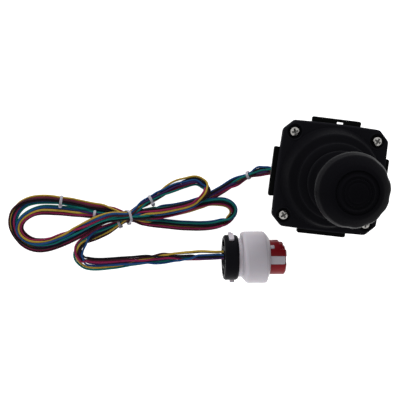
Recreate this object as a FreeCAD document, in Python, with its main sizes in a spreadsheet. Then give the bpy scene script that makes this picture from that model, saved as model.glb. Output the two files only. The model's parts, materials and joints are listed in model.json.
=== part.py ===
import FreeCAD, Part
import math
import os
import re

import Sketcher

# An industrial joystick with a square rubber boot, a palm knob with a push button in its crown,
# a two-axis gimbal with magnetic sensors in the lower case, and a wire harness with a round plug.
# The origin is on the standing surface, under the stick. +Z is up, +X and +Y are the tilt axes.

os.makedirs("parts", exist_ok=True)
doc = FreeCAD.newDocument("joystick")

# Driving dimensions in millimetres and degrees
SIZES = {
    "cover_thickness": 3.0, "housing_wall": 2.0,
    "housing_corner": 6.0, "housing_screw_inset": 2.2, "housing_screw_radius": 1.45,
    "housing_boss_radius": 2.7, "housing_screw_head": 2.7, "housing_screw_sink": 1.5,
    "thread_clearance": 0.05, "screw_clearance": 0.15, "screw_end_gap": 0.2,
    "plate_thickness": 2.0, "plate_margin": 6.0, "plate_corner": 7.0, "tab_projection": 5.0,
    "tab_length": 31.0, "tab_flare": 0.8, "tab_root": 2.0, "tab_round": 1.4, "tab_slot_length": 4.4,
    "tab_slot_width": 1.3, "tab_slot_place": 2.4, "tab_slot_edge": 2.6, "plate_opening": 23.0,
    "flange_thickness": 5.0, "flange_margin": 7.0, "flange_corner": 6.5, "flange_opening": 29.6,
    "flange_round": 1.0, "recess_radius": 4.6, "recess_depth": 1.6,
    "panel_screw_gap": 2.5, "panel_screw_radius": 1.75, "panel_screw_length": 16.0,
    "panel_shank_radius": 1.5, "panel_shank_end": 0.1,
    "pan_head_radius": 3.3, "pan_head_height": 2.3, "cross_length": 3.6, "cross_width": 0.9,
    "cross_depth": 1.2, "sleeve_radius": 2.6,
    "boot_foot_radius": 31.5, "boot_wall": 1.2, "boot_height": 46.0,
    "ridge_one_radius": 29.3, "ridge_one_rise": 13.0, "ridge_two_radius": 24.4,
    "ridge_two_rise": 20.0, "ridge_three_radius": 20.3, "ridge_three_rise": 29.0,
    "ridge_four_radius": 16.6, "ridge_four_rise": 36.5, "ridge_five_radius": 13.2,
    "ridge_five_rise": 40.5, "fold_depth": 0.7, "fold_share": 0.35, "tread_share": 0.6,
    "pivot_drop": 13.0, "frame_wall": 2.5, "frame_height": 21.0,
    "frame_boss": 5.0, "frame_screw_radius": 1.25, "frame_screw_head": 2.3,
    "frame_screw_head_height": 1.6, "frame_screw_length": 12.0,
    "limit_thickness": 2.0, "limit_margin": 3.9, "limit_opening": 21.4, "limit_corner": 3.5,
    "ring_end_gap": 2.2, "ring_height": 10.0, "ring_wall": 2.5,
    "trunnion_radius": 2.5, "running_clearance": 0.05, "bush_wall": 1.0, "pin_radius": 1.5,
    "block_wall": 3.0, "block_gap": 0.3, "block_height": 12.0,
    "stick_radius": 4.0, "stick_waist": 3.0, "tail_radius": 2.0, "tail_length": 19.0,
    "tail_bevel": 0.5, "waist_step": 0.5,
    "stick_length": 80.0, "lead_bore_radius": 1.6, "lead_bore_floor": 9.0,
    "button_lead_radius": 1.3, "button_lead_gap": 0.3,
    "grub_radius": 1.4, "grub_length": 2.8, "grub_rise": 4.0, "grub_gap": 0.1,
    "arch_inner": 14.0, "arch_thickness": 3.0, "arch_width": 9.0, "arch_arm": 2.0,
    "arch_gap": 1.7, "arch_side_gap": 3.5, "arch_top": 6.0, "arch_room": 5.4, "slot_clearance": 0.45,
    "slot_length": 15.6, "magnet_radius": 3.0, "magnet_thickness": 1.5, "trunnion_overhang": 0.5,
    "sensor_gap": 0.4, "sensor_chip": 4.0, "sensor_chip_thickness": 0.6,
    "sensor_board": 13.0, "sensor_board_thickness": 1.0,
    "spring_wire": 0.35, "spring_radius": 4.3, "spring_turns_ring": 3.0,
    "spring_turns_arch": 2.0, "spring_leg": 1.6, "spring_leg_share": 1.1, "spring_hole": 0.5,
    "board_clearance": 3.5, "board_corner": 3.0, "main_board_thickness": 1.6,
    "standoff_height": 5.0, "standoff_radius": 2.6, "standoff_inset": 5.0,
    "board_screw_radius": 1.0, "board_screw_head": 2.0, "board_screw_head_height": 1.3,
    "board_screw_length": 4.6,
    "controller_length": 10.0, "controller_width": 7.0, "controller_height": 1.6,
    "controller_back": 5.5, "regulator_side": 6.0, "regulator_height": 2.2,
    "regulator_ahead": 9.0, "small_length": 1.6, "small_width": 1.0, "small_height": 0.8,
    "small_pitch": 3.0, "small_ahead": 2.5,
    "socket_length": 4.0, "socket_width": 16.0, "socket_height": 6.0, "socket_inset": 6.0,
    "grommet_height": 14.0, "grommet_side": 2.5, "grommet_flange": 5.0, "grommet_sleeve": 3.6,
    "grommet_tip": 3.0, "grommet_length": 7.0, "grommet_lip": 1.2,
    "knob_radius": 22.5, "knob_widest": 60.0, "knob_top_radius": 20.5, "knob_top_rise": 9.0,
    "knob_crown_rise": 16.0, "knob_bottom_radius": 19.4, "knob_skirt": 5.5, "knob_wall": 2.2,
    "knob_lower_inset": 0.9, "knob_lower_drop": 2.6, "knob_upper_inset": 0.5,
    "knob_upper_rise": 4.5, "knob_inner_inset": 0.7,
    "knob_shoulder_radius": 17.0, "knob_shoulder_rise": 12.0, "knob_shoulder_wall": 2.0,
    "crown_edge_radius": 12.4, "crown_edge_rise": 14.2,
    "flute_count": 12.0, "flute_radius": 7.0, "flute_depth": 0.35,
    "base_neck_radius": 9.6, "base_neck_height": 2.6, "base_wall": 2.0, "base_sink": 3.5,
    "base_ledge": 1.5, "insert_radius": 6.0,
    "nut_width": 11.0, "nut_height": 3.5, "collar_wall": 1.6, "collar_height": 4.0,
    "collar_gap": 0.3,
    "carrier_radius": 13.0, "carrier_wall": 1.6, "carrier_height": 10.5, "carrier_gap": 0.6,
    "switch_width": 6.0, "switch_height": 3.6, "plunger_radius": 1.4, "plunger_height": 1.0,
    "button_radius": 8.2, "button_skirt": 1.0, "button_skirt_depth": 5.0, "button_travel": 1.5,
    "button_stem": 2.4, "button_dome": 0.7, "button_sink": 1.1, "button_gap": 0.1,
    "button_roof": 1.6, "button_edge": 1.2, "button_edge_rise": 0.2,
    "diaphragm_thickness": 1.0, "diaphragm_seat": 0.3, "diaphragm_lip": 0.6,
    "diaphragm_foot": 1.2, "guide_height": 3.4, "button_spring_radius": 5.7,
    "button_spring_wire": 0.3, "button_spring_turns": 5.0,
    "bundle_radius": 2.4, "hank_height": 7.0, "hank_knot_length": 22.0, "hank_knot_width": 14.0,
    "hank_knot_height": 10.5, "hank_knot_along": -125.0, "hank_knot_across": -46.5,
    "hank_level": 0.05, "tie_wall": 0.8, "tie_width": 2.6, "tie_gap": 0.05,
    "tie_head_width": 4.0, "tie_head_height": 2.4, "tie_head_margin": 0.7, "tie_lift": 0.02,
    "tie_one_place": 18.0, "tie_two_place": 32.0, "tie_tail_place": 5.0,
    "plug_along": -58.7, "plug_across": -65.2, "plug_yaw": 6.7, "plug_radius": 17.6,
    "plug_neck_radius": 13.2, "plug_neck_start": 8.0, "plug_neck_end": 13.4,
    "plug_shoulder": 16.2, "plug_front_shoulder": 28.2, "plug_length": 31.6,
    "plug_edge": 1.2, "plug_edge_step": 0.6, "plug_front_edge": 1.0, "plug_front_step": 1.6,
    "plug_front_radius": 13.4, "plug_cavity": 22.0, "core_radius": 11.8, "core_length": 11.0,
    "core_waist": 9.6, "core_edge": 1.0, "core_dish": 1.2, "core_groove": 2.8,
    "core_groove_depth": 1.4, "core_groove_start": 3.0, "key_width": 5.6, "key_depth": 2.4,
    "key_side_gap": 0.03, "key_sink": 0.2, "key_setback": 1.0, "cage_radius": 15.3,
    "cage_length": 11.3, "cage_rim": 3.2, "cage_bevel": 1.2, "cage_bevel_length": 1.6,
    "cage_seat_step": 0.6, "cage_eye": 6.0, "cage_eye_wall": 1.6, "cage_eye_reach": 1.0,
    "cage_spoke": 2.2, "cage_rear": 2.0, "nub_width": 3.2, "nub_start": 5.3, "nub_length": 3.2,
    "nub_setback": 0.6, "seal_radius": 12.6, "seal_thickness": 3.0, "contact_radius": 0.8,
    "contact_circle": 6.0, "contact_length": 6.5, "contact_depth": 8.0, "contact_gap": 0.02,
    "clip_length": 6.0, "clip_width": 6.0, "clip_projection": 2.1, "clip_start": 3.3,
    "clip_bevel": 1.0, "clip_round": 0.5, "clip_gap": 0.02, "cut_past": 1.0,
}

# Levels and places that follow from the driving dimensions
DERIVED = {
    "housing_height": "pivot_drop + arch_inner + arch_thickness + arch_room + board_top - cover_thickness",
    "plate_bottom": "cover_thickness + housing_height",
    "plate_top": "plate_bottom + plate_thickness",
    "flange_top": "plate_top + flange_thickness",
    "pivot": "plate_bottom - pivot_drop",
    "block_side": "2 * (stick_waist + block_wall)",
    "ring_opening_width": "block_side + 2 * block_gap",
    "ring_opening_length": "block_side + 2 * ring_end_gap",
    "ring_width": "ring_opening_width + 2 * ring_wall",
    "ring_length": "ring_opening_length + 2 * ring_wall",
    "arm_inner": "ring_width / 2 + arch_gap",
    "arm_outer": "arm_inner + arch_arm",
    "frame_inner": "arm_outer + arch_side_gap",
    "frame_half": "frame_inner + frame_wall",
    "frame_bottom": "plate_bottom - frame_height",
    "frame_screw_place": "frame_inner - frame_boss / 2",
    "limit_radius": "sqrt(2) * frame_screw_place + limit_margin",
    "trunnion_end": "frame_half + trunnion_overhang",
    "bush_bore": "trunnion_radius + running_clearance",
    "bush_radius": "bush_bore + bush_wall",
    "magnet_face": "trunnion_end + magnet_thickness",
    "chip_face": "magnet_face + sensor_gap",
    "sensor_face": "chip_face + sensor_chip_thickness",
    "inner_half": "sensor_face + sensor_board_thickness",
    "housing_half": "inner_half + housing_wall",
    "housing_screw_place": "inner_half - housing_screw_inset",
    "screw_half": "housing_half + panel_screw_gap",
    "plate_half": "screw_half + plate_margin",
    "tab_reach": "plate_half + tab_projection",
    "flange_half": "screw_half + flange_margin",
    "recess_floor": "flange_top - recess_depth",
    "thread_start": "plate_bottom - panel_shank_end",
    "board_half": "inner_half - board_clearance",
    "standoff_place": "board_half - standoff_inset",
    "socket_edge": "board_half - socket_inset",
    "neck_level": "flange_top + boot_height",
    "split_level": "flange_top + ridge_two_rise + fold_share * (ridge_three_rise - ridge_two_rise)",
    "split_radius": "ridge_three_radius - fold_depth",
    "knob_level": "flange_top + knob_widest",
    "knob_bottom": "knob_level - knob_skirt",
    "base_bottom": "neck_level",
    "collar_bottom": "neck_level - collar_height",
    "boot_neck_radius": "insert_radius + boot_wall",
    "stick_top": "pivot + stick_length",
    "base_floor": "knob_bottom + base_wall - base_sink",
    "carrier_bottom": "base_floor",
    "carrier_top": "carrier_bottom + carrier_height",
    "switch_top": "carrier_top + switch_height",
    "plunger_top": "switch_top + plunger_height",
    "crown": "knob_level + knob_crown_rise",
    "crown_edge": "knob_level + crown_edge_rise",
    "button_rim": "crown - button_dome",
    "button_bottom": "crown - button_sink - button_skirt_depth",
    "button_face": "crown - button_sink - diaphragm_thickness",
    "button_ceiling": "crown - button_sink - button_roof",
    "guide_top": "crown_edge - diaphragm_thickness",
    "guide_bottom": "guide_top - guide_height",
    "board_bottom": "cover_thickness + standoff_height",
    "board_top": "board_bottom + main_board_thickness",
    "seal_start": "plug_neck_start - seal_thickness",
    "core_end": "plug_length + core_length",
    "clip_reach": "cage_radius + clip_projection",
}

sheet = doc.addObject("Spreadsheet::Sheet", "Sizes")
for row, (alias, size) in enumerate(SIZES.items(), start=1):
    sheet.set(f"A{row}", alias)
    sheet.set(f"B{row}", str(size))
    sheet.setAlias(f"B{row}", alias)
doc.recompute()

WORD = re.compile(r"[a-z_]+")


def full(text):
    """The expression with derived names written out and every size read from the sheet."""
    def swap(found):
        word = found.group(0)
        if word in DERIVED:
            return "(" + full(DERIVED[word]) + ")"
        if word in SIZES:
            return "Sizes." + word
        return word
    return WORD.sub(swap, str(text))


def value(text):
    """The number that an expression has now."""
    return float(sheet.evalExpression(full(text)))


def bind(item, prop, text):
    item.setExpression(prop, full(text))


# Helpers for sketches and features

def new_body(name, base=None, turn=None):
    """A body with its own label. base gives its place as three expressions, turn an axis and an angle."""
    body = doc.addObject("PartDesign::Body", name)
    body.Label = name
    body.AllowCompound = True
    if base:
        for letter, text in zip("xyz", base):
            bind(body, "Placement.Base." + letter, text)
    if turn:
        axis, angle = turn
        body.Placement.Rotation = FreeCAD.Rotation(axis, value(angle))
        bind(body, "Placement.Rotation.Angle", angle)
    return body


def plane(body, role):
    return next(f for f in body.Origin.OriginFeatures if f.Role == role)


def new_sketch(body, role, offset="0"):
    sketch = body.newObject("Sketcher::SketchObject", body.Name + "_sketch")
    sketch.AttachmentSupport = [(plane(body, role), "")]
    sketch.MapMode = "FlatFace"
    bind(sketch, "AttachmentOffset.Base.z", offset)
    return sketch


def fix_point(sketch, geometry, end, across, up):
    """Ties a point of the sketch to two expressions."""
    for kind, text in (("DistanceX", across), ("DistanceY", up)):
        index = sketch.addConstraint(
            Sketcher.Constraint(kind, -1, 1, geometry, end, value(text))
        )
        sketch.setExpression(f"Constraints[{index}]", full(text))


def draw_outline(sketch, points):
    """A closed outline of straight lines, whose corners are pairs of expressions."""
    places = [FreeCAD.Vector(value(a), value(b), 0) for a, b in points]
    count = len(places)
    first = sketch.GeometryCount
    for i in range(count):
        sketch.addGeometry(Part.LineSegment(places[i], places[(i + 1) % count]), False)
    for i in range(count):
        following = first + (i + 1) % count
        sketch.addConstraint(Sketcher.Constraint("Coincident", first + i, 2, following, 1))
    for i, (a, b) in enumerate(points):
        fix_point(sketch, first + i, 1, a, b)


def draw_circle(sketch, across, up, radius):
    centre = FreeCAD.Vector(value(across), value(up), 0)
    circle = Part.Circle(centre, FreeCAD.Vector(0, 0, 1), value(radius))
    index = sketch.addGeometry(circle, False)
    fix_point(sketch, index, 3, across, up)
    size = sketch.addConstraint(Sketcher.Constraint("Radius", index, value(radius)))
    sketch.setExpression(f"Constraints[{size}]", full(radius))


def rectangle(left, right, low, high):
    return [(left, low), (right, low), (right, high), (left, high)]


def centred(length, width):
    return rectangle(f"-({length}) / 2", f"({length}) / 2", f"-({width}) / 2", f"({width}) / 2")


def block_at(across, up, length, width):
    """A rectangle about a point."""
    return rectangle(f"{across} - ({length}) / 2", f"{across} + ({length}) / 2",
                     f"{up} - ({width}) / 2", f"{up} + ({width}) / 2")


def extrude(body, role, offset, outlines, length, cut=False):
    """Pads or cuts outlines and circles from a plane at offset. A circle is (across, up, radius).
    The XZ plane faces -Y, so a pad on it is turned round to grow towards +Y as well."""
    turned = role == "XZ_Plane"
    sketch = new_sketch(body, role, f"-({offset})" if turned else offset)
    for shape in outlines:
        if isinstance(shape, tuple):
            draw_circle(sketch, *shape)
        else:
            draw_outline(sketch, shape)
    kind = "PartDesign::Pocket" if cut else "PartDesign::Pad"
    feature = body.newObject(kind, body.Name + ("_pocket" if cut else "_pad"))
    feature.Profile = sketch
    bind(feature, "Length", length)
    feature.Reversed = turned != cut
    settle(body, cut)
    return feature


def revolve(body, role, axis, points, cut=False):
    """A closed profile turned about one axis of its sketch."""
    sketch = new_sketch(body, role)
    draw_outline(sketch, points)
    kind = "PartDesign::Groove" if cut else "PartDesign::Revolution"
    feature = body.newObject(kind, body.Name + "_turned")
    feature.Profile = sketch
    feature.ReferenceAxis = (sketch, [axis])
    feature.Angle = 360.0
    settle(body, cut)
    return feature


volumes = {}


def settle(body, cut):
    """Recomputes and makes sure that a cut took something away and a pad added something."""
    doc.recompute()
    now = body.Shape.Volume
    before = volumes.get(body.Name, 0.0)
    if (cut and now >= before - 1e-6) or (not cut and now <= before + 1e-6):
        raise RuntimeError(f"{body.Name}: the last feature changed nothing, {before} to {now}")
    volumes[body.Name] = now


def dress(body, kind, size, chosen):
    """Rounds or bevels the edges that chosen accepts."""
    tip = body.Tip
    names = [f"Edge{i + 1}" for i, edge in enumerate(tip.Shape.Edges) if chosen(edge)]
    if not names:
        raise RuntimeError(body.Name + ": no edge to round")
    feature = body.newObject("PartDesign::" + kind, body.Name + "_edge")
    feature.Base = (tip, names)
    bind(feature, "Radius" if kind == "Fillet" else "Size", size)
    doc.recompute()
    volumes[body.Name] = body.Shape.Volume
    return feature


def upright_at(reach, both=True):
    """Accepts straight upright edges at least so far from the axis, both ways or one way."""
    limit = value(reach) - 0.01
    enough = all if both else any

    def chosen(edge):
        ends = [v.Point for v in edge.Vertexes]
        if len(ends) != 2 or (ends[0] - ends[1]).cross(FreeCAD.Vector(0, 0, 1)).Length > 1e-6:
            return False
        return all(enough((abs(p.x) >= limit, abs(p.y) >= limit)) for p in ends)
    return chosen


def level_at(text, reach="0"):
    """Accepts edges that lie wholly at one level, at least so far from the axis."""
    level, least = value(text), value(reach)

    def chosen(edge):
        box = edge.BoundBox
        far = max(abs(box.XMax), abs(box.XMin), abs(box.YMax), abs(box.YMin))
        return abs(box.ZMin - level) < 1e-4 and abs(box.ZMax - level) < 1e-4 and far >= least
    return chosen


def four_circles(place, radius):
    return [(f"{a} * ({place})", f"{b} * ({place})", radius) for a in (-1, 1) for b in (-1, 1)]


def own_shape(name, shape):
    """A sub-part whose shape is worked out here from the sheet's sizes."""
    item = doc.addObject("Part::Feature", name)
    item.Label = name
    item.Shape = shape
    item.Placement = FreeCAD.Placement()
    return item


# The lower case

def make_bottom_cover():
    body = new_body("bottom_cover")
    square = centred("2 * housing_half", "2 * housing_half")
    extrude(body, "XY_Plane", "0", [square], "cover_thickness")
    dress(body, "Fillet", "housing_corner", upright_at("housing_half"))
    posts = four_circles("standoff_place", "standoff_radius")
    extrude(body, "XY_Plane", "cover_thickness", posts, "standoff_height")
    pilots = four_circles("standoff_place", "board_screw_radius")
    extrude(body, "XY_Plane", "cover_thickness", pilots, "standoff_height", cut=True)
    bores = four_circles("housing_screw_place", "housing_screw_radius + screw_clearance")
    extrude(body, "XY_Plane", "0", bores, "cover_thickness", cut=True)
    sinks = four_circles("housing_screw_place", "housing_screw_head + screw_clearance")
    extrude(body, "XY_Plane", "0", sinks, "housing_screw_sink", cut=True)
    return body


def make_housing_shell():
    body = new_body("housing_shell")
    low = "cover_thickness"
    square = centred("2 * housing_half", "2 * housing_half")
    extrude(body, "XY_Plane", low, [square], "housing_height")
    dress(body, "Fillet", "housing_corner", upright_at("housing_half"))
    room = centred("2 * inner_half", "2 * inner_half")
    extrude(body, "XY_Plane", low, [room], "housing_height", cut=True)
    dress(body, "Fillet", "housing_corner - housing_wall", upright_at("inner_half"))
    pillars = four_circles("housing_screw_place", "housing_boss_radius")
    extrude(body, "XY_Plane", low, pillars, "housing_height")
    bores = four_circles("housing_screw_place", "housing_screw_radius + thread_clearance")
    extrude(body, "XY_Plane", low, bores, "housing_height", cut=True)
    mouth = [("-grommet_side", "grommet_height", "grommet_sleeve + thread_clearance")]
    extrude(body, "YZ_Plane", "-housing_half - cut_past", mouth, "housing_wall + 2 * cut_past", cut=True)
    return body


def make_housing_screws():
    """Four long screws that hold the cover and the shell to the mounting plate."""
    body = new_body("housing_screws")
    shanks = four_circles("housing_screw_place", "housing_screw_radius")
    extrude(body, "XY_Plane", "screw_end_gap", shanks, "plate_top - 2 * screw_end_gap")
    heads = four_circles("housing_screw_place", "housing_screw_head")
    extrude(body, "XY_Plane", "screw_end_gap", heads, "housing_screw_sink - screw_end_gap")
    return body


# The mounting plate with one tab on each side, and the boot's flange

def turned_outline(points, quarter):
    """An outline turned by so many quarters about the axis."""
    for _ in range(quarter):
        points = [(f"-({b})", a) for a, b in points]
    return points


def make_mounting_plate():
    body = new_body("mounting_plate")
    square = centred("2 * plate_half", "2 * plate_half")
    extrude(body, "XY_Plane", "plate_bottom", [square], "plate_thickness")
    dress(body, "Chamfer", "plate_corner", upright_at("plate_half"))
    half, flared = "tab_length / 2", "tab_length / 2 + tab_flare"
    tab = [
        ("plate_half - tab_root", f"-({half})"), ("tab_reach", f"-({flared})"),
        ("tab_reach", flared), ("plate_half - tab_root", half),
    ]
    for quarter in range(4):
        extrude(body, "XY_Plane", "plate_bottom", [turned_outline(tab, quarter)], "plate_thickness")
    dress(body, "Fillet", "tab_round", upright_at("tab_reach", both=False))
    opening = centred("plate_opening", "plate_opening")
    extrude(body, "XY_Plane", "plate_bottom", [opening], "plate_thickness", cut=True)
    slot_middle = "tab_reach - tab_slot_edge"
    slot = rectangle(
        "tab_slot_place - tab_slot_length / 2", "tab_slot_place + tab_slot_length / 2",
        f"{slot_middle} - tab_slot_width / 2", f"{slot_middle} + tab_slot_width / 2",
    )
    extrude(body, "XY_Plane", "plate_bottom", [slot], "plate_thickness", cut=True)
    holes = four_circles("screw_half", "panel_screw_radius + screw_clearance")
    holes += four_circles("housing_screw_place", "housing_screw_radius + thread_clearance")
    holes += four_circles("frame_screw_place", "frame_screw_radius + screw_clearance")
    extrude(body, "XY_Plane", "plate_bottom", holes, "plate_thickness", cut=True)
    return body


def make_boot_flange():
    body = new_body("boot_flange")
    square = centred("2 * flange_half", "2 * flange_half")
    extrude(body, "XY_Plane", "plate_top", [square], "flange_thickness")
    dress(body, "Chamfer", "flange_corner", upright_at("flange_half"))
    dress(body, "Fillet", "flange_round", level_at("flange_top"))
    opening = [("0", "0", "flange_opening")]
    extrude(body, "XY_Plane", "plate_top", opening, "flange_thickness", cut=True)
    recesses = four_circles("screw_half", "recess_radius")
    extrude(body, "XY_Plane", "recess_floor", recesses, "recess_depth", cut=True)
    bores = four_circles("screw_half", "sleeve_radius")
    extrude(body, "XY_Plane", "plate_top", bores, "flange_thickness", cut=True)
    return body


def make_compression_sleeves():
    """Metal tubes that keep the screws from crushing the rubber."""
    body = new_body("compression_sleeves")
    outer = four_circles("screw_half", "sleeve_radius")
    inner = four_circles("screw_half", "panel_screw_radius + screw_clearance")
    extrude(body, "XY_Plane", "plate_top", outer, "recess_floor - plate_top")
    extrude(body, "XY_Plane", "plate_top", inner, "recess_floor - plate_top", cut=True)
    return body


def make_flange_screws():
    body = new_body("flange_screws")
    heads = four_circles("screw_half", "pan_head_radius")
    extrude(body, "XY_Plane", "recess_floor", heads, "pan_head_height")
    top = "recess_floor + pan_head_height"
    dress(body, "Fillet", "pan_head_height / 2", level_at(top))
    shanks = four_circles("screw_half", "panel_shank_radius")
    extrude(body, "XY_Plane", "thread_start", shanks, "recess_floor - (thread_start)")
    threads = four_circles("screw_half", "panel_screw_radius")
    low = "recess_floor - panel_screw_length"
    extrude(body, "XY_Plane", low, threads, f"thread_start - ({low})")
    for long_side, short_side in (("cross_length", "cross_width"), ("cross_width", "cross_length")):
        for a in (-1, 1):
            for b in (-1, 1):
                bar = rectangle(
                    f"{a} * screw_half - {long_side} / 2", f"{a} * screw_half + {long_side} / 2",
                    f"{b} * screw_half - {short_side} / 2", f"{b} * screw_half + {short_side} / 2",
                )
                extrude(body, "XY_Plane", f"{top} - cross_depth", [bar], "cross_depth", cut=True)
    return body


# The bellows, split at a fold so that each half can follow one tilt

def fold(low_radius, low_rise, high_radius, high_rise):
    """The bottom of the fold between two ridges."""
    return (
        f"{high_radius} - fold_depth",
        f"flange_top + {low_rise} + fold_share * ({high_rise} - {low_rise})",
    )


def boot_skin(outer):
    """A closed profile between an outer line and the same line one wall further in. The line's
    inner points also lie lower, so that flat treads keep a wall as well as steep risers."""
    inner = [(f"{radius} - boot_wall", f"{level} - tread_share * boot_wall") for radius, level in outer]
    inner[0] = (inner[0][0], outer[0][1])
    inner[-1] = (inner[-1][0], outer[-1][1])
    return outer + inner[::-1]


def make_bellows_lower():
    body = new_body("bellows_lower")
    outer = [
        ("boot_foot_radius", "flange_top"),
        ("ridge_one_radius", "flange_top + ridge_one_rise"),
        fold("ridge_one_radius", "ridge_one_rise", "ridge_two_radius", "ridge_two_rise"),
        ("ridge_two_radius", "flange_top + ridge_two_rise"),
        ("split_radius", "split_level"),
    ]
    revolve(body, "XZ_Plane", "V_Axis", boot_skin(outer))
    foot = rectangle(
        "flange_opening - boot_wall", "flange_opening", "plate_top", "flange_top"
    )
    link = rectangle(
        "flange_opening - boot_wall", "boot_foot_radius", "flange_top", "flange_top + boot_wall"
    )
    revolve(body, "XZ_Plane", "V_Axis", foot)
    revolve(body, "XZ_Plane", "V_Axis", link)
    return body


def make_bellows_upper():
    body = new_body("bellows_upper")
    outer = [
        ("split_radius", "split_level"),
        ("ridge_three_radius", "flange_top + ridge_three_rise"),
        fold("ridge_three_radius", "ridge_three_rise", "ridge_four_radius", "ridge_four_rise"),
        ("ridge_four_radius", "flange_top + ridge_four_rise"),
        fold("ridge_four_radius", "ridge_four_rise", "ridge_five_radius", "ridge_five_rise"),
        ("ridge_five_radius", "flange_top + ridge_five_rise"),
        ("boot_neck_radius", "collar_bottom"),
        ("boot_neck_radius", "neck_level"),
    ]
    return revolve(body, "XZ_Plane", "V_Axis", boot_skin(outer))


# The gimbal's frame, its gate and its bushes

def make_gimbal_frame():
    body = new_body("gimbal_frame")
    outer, inner = centred("2 * frame_half", "2 * frame_half"), centred("2 * frame_inner", "2 * frame_inner")
    extrude(body, "XY_Plane", "frame_bottom", [outer], "frame_height")
    dress(body, "Fillet", "frame_wall", upright_at("frame_half"))
    extrude(body, "XY_Plane", "frame_bottom", [inner], "frame_height", cut=True)
    bosses = []
    for a in (-1, 1):
        for b in (-1, 1):
            sides = sorted((f"{a} * frame_inner", f"{a} * (frame_inner - frame_boss)"), key=value)
            ends = sorted((f"{b} * frame_inner", f"{b} * (frame_inner - frame_boss)"), key=value)
            bosses.append(rectangle(sides[0], sides[1], ends[0], ends[1]))
    extrude(body, "XY_Plane", "frame_bottom", bosses, "frame_height")
    holes = four_circles("frame_screw_place", "frame_screw_radius + thread_clearance")
    extrude(body, "XY_Plane", "plate_bottom - frame_screw_length", holes, "frame_screw_length", cut=True)
    for role in ("YZ_Plane", "XZ_Plane"):
        bore = [("0", "pivot", "bush_radius")]
        for start in ("-frame_half - cut_past", "frame_inner - cut_past"):
            extrude(body, role, start, bore, "frame_wall + 2 * cut_past", cut=True)
        anchor = [("0", "pivot + spring_radius", "spring_hole")]
        extrude(body, role, "-frame_half - cut_past", anchor, "frame_wall + 2 * cut_past", cut=True)
    return body


def make_bushes(name, role):
    """Two plain bushes, pressed into opposite walls of the frame."""
    body = new_body(name)
    for start in ("-frame_half", "frame_inner"):
        extrude(body, role, start, [("0", "pivot", "bush_radius")], "frame_wall")
        extrude(body, role, start, [("0", "pivot", "bush_bore")], "frame_wall", cut=True)
    return body


def make_limit_plate():
    """The gate on the mounting plate that stops the stick."""
    body = new_body("limit_plate")
    extrude(body, "XY_Plane", "plate_top", [("0", "0", "limit_radius")], "limit_thickness")
    opening = centred("limit_opening", "limit_opening")
    extrude(body, "XY_Plane", "plate_top", [opening], "limit_thickness", cut=True)
    dress(body, "Fillet", "limit_corner", upright_at("limit_opening / 2"))
    holes = four_circles("frame_screw_place", "frame_screw_radius + screw_clearance")
    extrude(body, "XY_Plane", "plate_top", holes, "limit_thickness", cut=True)
    return body


def make_frame_screws():
    body = new_body("frame_screws")
    seat = "plate_top + limit_thickness"
    heads = four_circles("frame_screw_place", "frame_screw_head")
    extrude(body, "XY_Plane", seat, heads, "frame_screw_head_height")
    shanks = four_circles("frame_screw_place", "frame_screw_radius")
    extrude(body, "XY_Plane", f"{seat} - frame_screw_length", shanks, "frame_screw_length")
    return body


# The moving gimbal: ring, pin, stick block, slotted arch

def make_gimbal_ring():
    body = new_body("gimbal_ring")
    outer = centred("ring_length", "ring_width")
    inner = centred("ring_opening_length", "ring_opening_width")
    extrude(body, "XY_Plane", "pivot - ring_height / 2", [outer], "ring_height")
    extrude(body, "XY_Plane", "pivot - ring_height / 2", [inner], "ring_height", cut=True)
    trunnion = [("0", "pivot", "trunnion_radius")]
    reach = "trunnion_end - ring_length / 2"
    extrude(body, "YZ_Plane", "-trunnion_end", trunnion, reach)
    extrude(body, "YZ_Plane", "ring_length / 2", trunnion, reach)
    bore = [("0", "pivot", "pin_radius")]
    extrude(body, "XZ_Plane", "-ring_width / 2", bore, "ring_wall", cut=True)
    extrude(body, "XZ_Plane", "ring_width / 2 - ring_wall", bore, "ring_wall", cut=True)
    anchor = [("0", "pivot + spring_radius", "spring_hole")]
    extrude(body, "YZ_Plane", "-ring_length / 2", anchor, "ring_wall", cut=True)
    return body


def make_pivot_pin():
    body = new_body("pivot_pin")
    extrude(body, "XZ_Plane", "-ring_width / 2", [("0", "pivot", "pin_radius")], "ring_width")
    return body


def make_stick_block():
    body = new_body("stick_block")
    square = centred("block_side", "block_side")
    extrude(body, "XY_Plane", "pivot - block_height / 2", [square], "block_height")
    waist = [("0", "0", "stick_waist")]
    extrude(body, "XY_Plane", "pivot - block_height / 2", waist, "block_height", cut=True)
    bore = [("0", "pivot", "pin_radius + running_clearance")]
    extrude(body, "XZ_Plane", "-block_side / 2", bore, "block_side", cut=True)
    grub = [("0", "pivot + grub_rise", "grub_radius")]
    extrude(body, "YZ_Plane", "stick_waist - waist_step", grub, "block_side / 2", cut=True)
    return body


def make_grub_screw():
    body = new_body("grub_screw")
    grub = [("0", "pivot + grub_rise", "grub_radius")]
    extrude(body, "YZ_Plane", "stick_waist + grub_gap", grub, "grub_length")
    return body


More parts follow.
